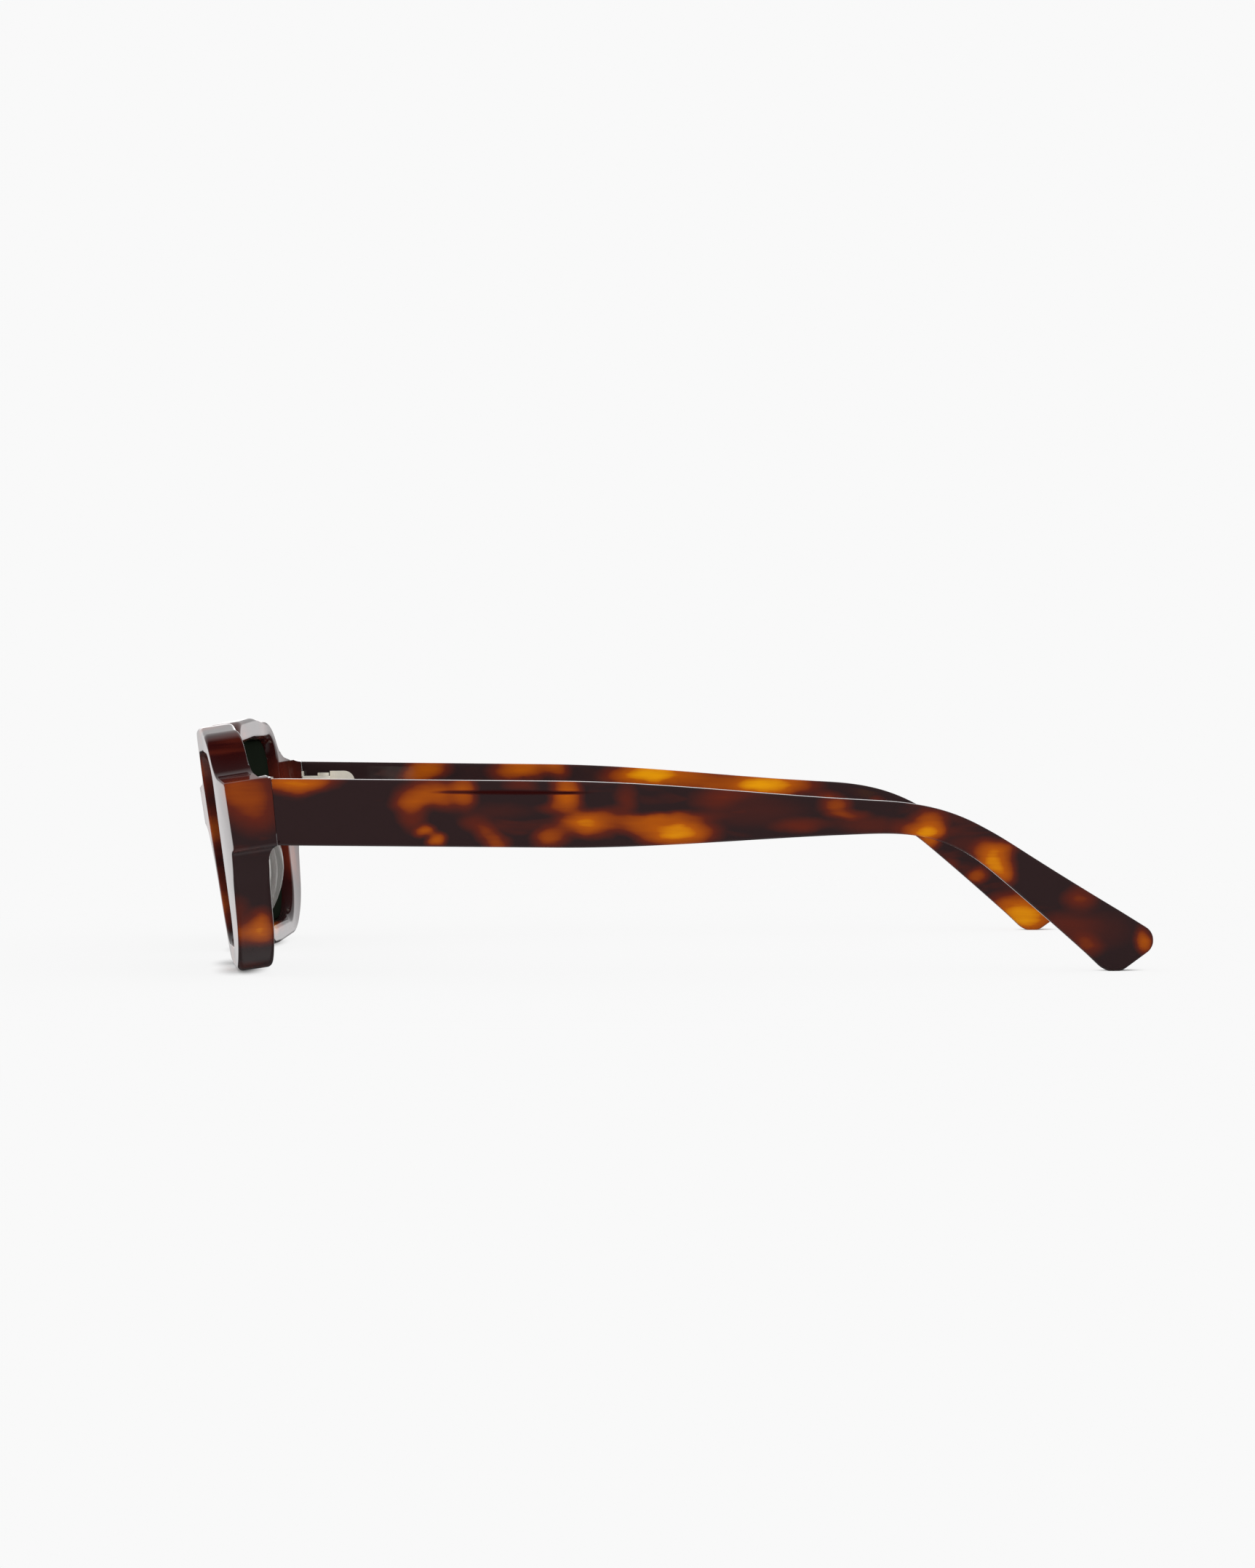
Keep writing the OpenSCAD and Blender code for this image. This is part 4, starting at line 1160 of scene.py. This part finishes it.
def add_ground(settings):
    """A pale ground that takes the shadows and fades into the background."""
    bm = bmesh.new()
    bmesh.ops.create_grid(bm, x_segments=8, y_segments=8, size=GROUND_HALF)
    mesh = bpy.data.meshes.new("ground")
    bm.to_mesh(mesh)
    bm.free()
    ground = bpy.data.objects.new("ground", mesh)
    bpy.context.scene.collection.objects.link(ground)
    material = bpy.data.materials.new("Pale ground")
    material.use_nodes = True
    tree = material.node_tree
    tree.nodes.clear()
    place = tree.nodes.new("ShaderNodeTexCoord").outputs["Object"]
    paper = mixed(tree, noise(tree, place, 900.0, 3.0)[0], (0.90, 0.90, 0.90, 1), (0.91, 0.91, 0.91, 1))
    matt = add(tree, "ShaderNodeBsdfDiffuse", None, Color=paper)
    glow = add(tree, "ShaderNodeEmission", None, Color=(*settings.ground, 1), Strength=1.0)
    path = tree.nodes.new("ShaderNodeLightPath")
    near = 0.0
    for x, y, wide, deep in FEET:
        for side in (1, -1):
            centre, spread = (side * x * MM, y * MM, 0.0), (wide * MM, deep * MM, 1.0)
            near = soft_patch(tree, place, centre, spread, 1.0, near)
    kept = maths(tree, "MULTIPLY_ADD", near, SPOT_SHADE, OPEN_GLOW)
    part = maths(tree, "MULTIPLY", path.outputs["Is Camera Ray"], kept)
    lit = mixed_shader(tree, part, matt.outputs[0], glow.outputs[0])
    fade = eased(tree, distance(tree, place), *GROUND_FADE)
    clear = tree.nodes.new("ShaderNodeBsdfTransparent")
    add(tree, "ShaderNodeOutputMaterial", None, _0=mixed_shader(tree, fade, lit, clear.outputs[0]))
    mesh.materials.append(material)
    ground.visible_glossy = False


def add_world(settings):
    """A white surround, a plain dome of light, and a studio for polished surfaces, bright on one side."""
    world = bpy.data.worlds.new("Soft studio")
    bpy.context.scene.world = world
    world.use_nodes = True
    tree = world.node_tree
    tree.nodes.clear()
    path = tree.nodes.new("ShaderNodeLightPath").outputs
    side = add(tree, "ShaderNodeSeparateXYZ", None,
               _0=tree.nodes.new("ShaderNodeTexCoord").outputs["Generated"]).outputs

    def between(axis, first, second):
        return maths(tree, "MULTIPLY", eased(tree, side[axis], *first), eased(tree, side[axis], *second))

    def background(tint, light):
        return add(tree, "ShaderNodeBackground", None, Color=(*tint, 1), Strength=light).outputs[0]

    panels = maths(tree, "ADD", eased(tree, side["Y"], *FRONT_PANEL), eased(tree, side["Y"], *REAR_PANEL))
    band = between("Z", HORIZON_LOW, HORIZON_HIGH)
    horizon = maths(tree, "MULTIPLY", band, maths(tree, "ADD", panels, HORIZON))
    line = maths(tree, "MULTIPLY", between("Z", LINE_LOW, LINE_HIGH), between("Y", LINE_FRONT, LINE_REAR))
    sky = maths(tree, "MULTIPLY", eased(tree, side["Z"], *SKY_LOW), eased(tree, side["X"], *SKY_SIDE))
    lights = maths(tree, "ADD", maths(tree, "ADD", horizon, line), sky)
    wall = maths(tree, "MULTIPLY", lights, eased(tree, side["X"], *LIT_SIDE))
    low = maths(tree, "ADD", eased(tree, side["Z"], *FLOOR), UNLIT)
    studio = background(STUDIO_TINT, maths(tree, "ADD", wall, low))
    lit = mixed_shader(tree, path["Is Glossy Ray"], background((1, 1, 1), settings.dome), studio)
    seen = maths(tree, "MAXIMUM", path["Is Camera Ray"], path["Is Transmission Ray"])
    shown = mixed_shader(tree, seen, lit, background(settings.ground, 1.0))
    add(tree, "ShaderNodeOutputWorld", None, _0=shown)


def add_lamp(settings):
    """One broad lamp from above on the camera's side."""
    light = bpy.data.lights.new("overhead", "SUN")
    light.energy = settings.lamp
    light.angle = LAMP_ANGLE
    lamp = bpy.data.objects.new("overhead", light)
    lamp.visible_glossy = False
    lamp.rotation_euler = Vector(LAMP_FROM).to_track_quat("Z", "Y").to_euler()
    bpy.context.scene.collection.objects.link(lamp)


def add_camera():
    """The photograph's view: from the wearer's left, almost level."""
    data = bpy.data.cameras.new("camera")
    data.sensor_fit = "VERTICAL"
    data.sensor_width = data.sensor_height = CAMERA_SENSOR
    data.lens = CAMERA_LENS
    data.clip_start = 0.01
    camera = bpy.data.objects.new("camera", data)
    turned = Matrix((CAMERA_RIGHT, CAMERA_UP, CAMERA_BACK)).transposed().to_4x4()
    camera.matrix_world = Matrix.Translation(CAMERA_PLACE) @ turned
    bpy.context.scene.collection.objects.link(camera)
    bpy.context.scene.camera = camera


class SUNGLASSES_PT_build(bpy.types.Panel):
    """Lists the steps that dress the sunglasses"""
    bl_idname = "SUNGLASSES_PT_build"
    bl_label = "Sunglasses"
    bl_space_type = "VIEW_3D"
    bl_region_type = "UI"
    bl_category = "Sunglasses"

    def draw(self, context):
        for operator in OPERATORS:
            self.layout.operator(operator.bl_idname)


SETTINGS = (
    ("sunglasses_front", FrontSettings),
    ("sunglasses_temple", TempleSettings),
    ("sunglasses_acetate", AcetateSettings),
    ("sunglasses_lens", LensSettings),
    ("sunglasses_pad", PadSettings),
    ("sunglasses_metal", MetalSettings),
    ("sunglasses_stage", StageSettings),
)
OPERATORS = (
    SUNGLASSES_OT_front,
    SUNGLASSES_OT_temples,
    SUNGLASSES_OT_lenses,
    SUNGLASSES_OT_nose_pads,
    SUNGLASSES_OT_hinges,
    SUNGLASSES_OT_stage,
)


def register():
    for name, group in SETTINGS:
        bpy.utils.register_class(group)
        setattr(bpy.types.Scene, name, PointerProperty(type=group))
    for operator in OPERATORS:
        bpy.utils.register_class(operator)
    bpy.utils.register_class(SUNGLASSES_PT_build)


def unregister():
    bpy.utils.unregister_class(SUNGLASSES_PT_build)
    for operator in reversed(OPERATORS):
        bpy.utils.unregister_class(operator)
    for name, group in reversed(SETTINGS):
        delattr(bpy.types.Scene, name)
        bpy.utils.unregister_class(group)


def main():
    """Runs every step in order."""
    register()
    build_patch_group()
    build_warp_group()
    build_acetate_group()
    build_metal_group()
    bpy.ops.sunglasses.front()
    bpy.ops.sunglasses.temples()
    bpy.ops.sunglasses.lenses()
    bpy.ops.sunglasses.nose_pads()
    bpy.ops.sunglasses.hinges()
    bpy.ops.sunglasses.stage()


if __name__ == "__main__":
    main()
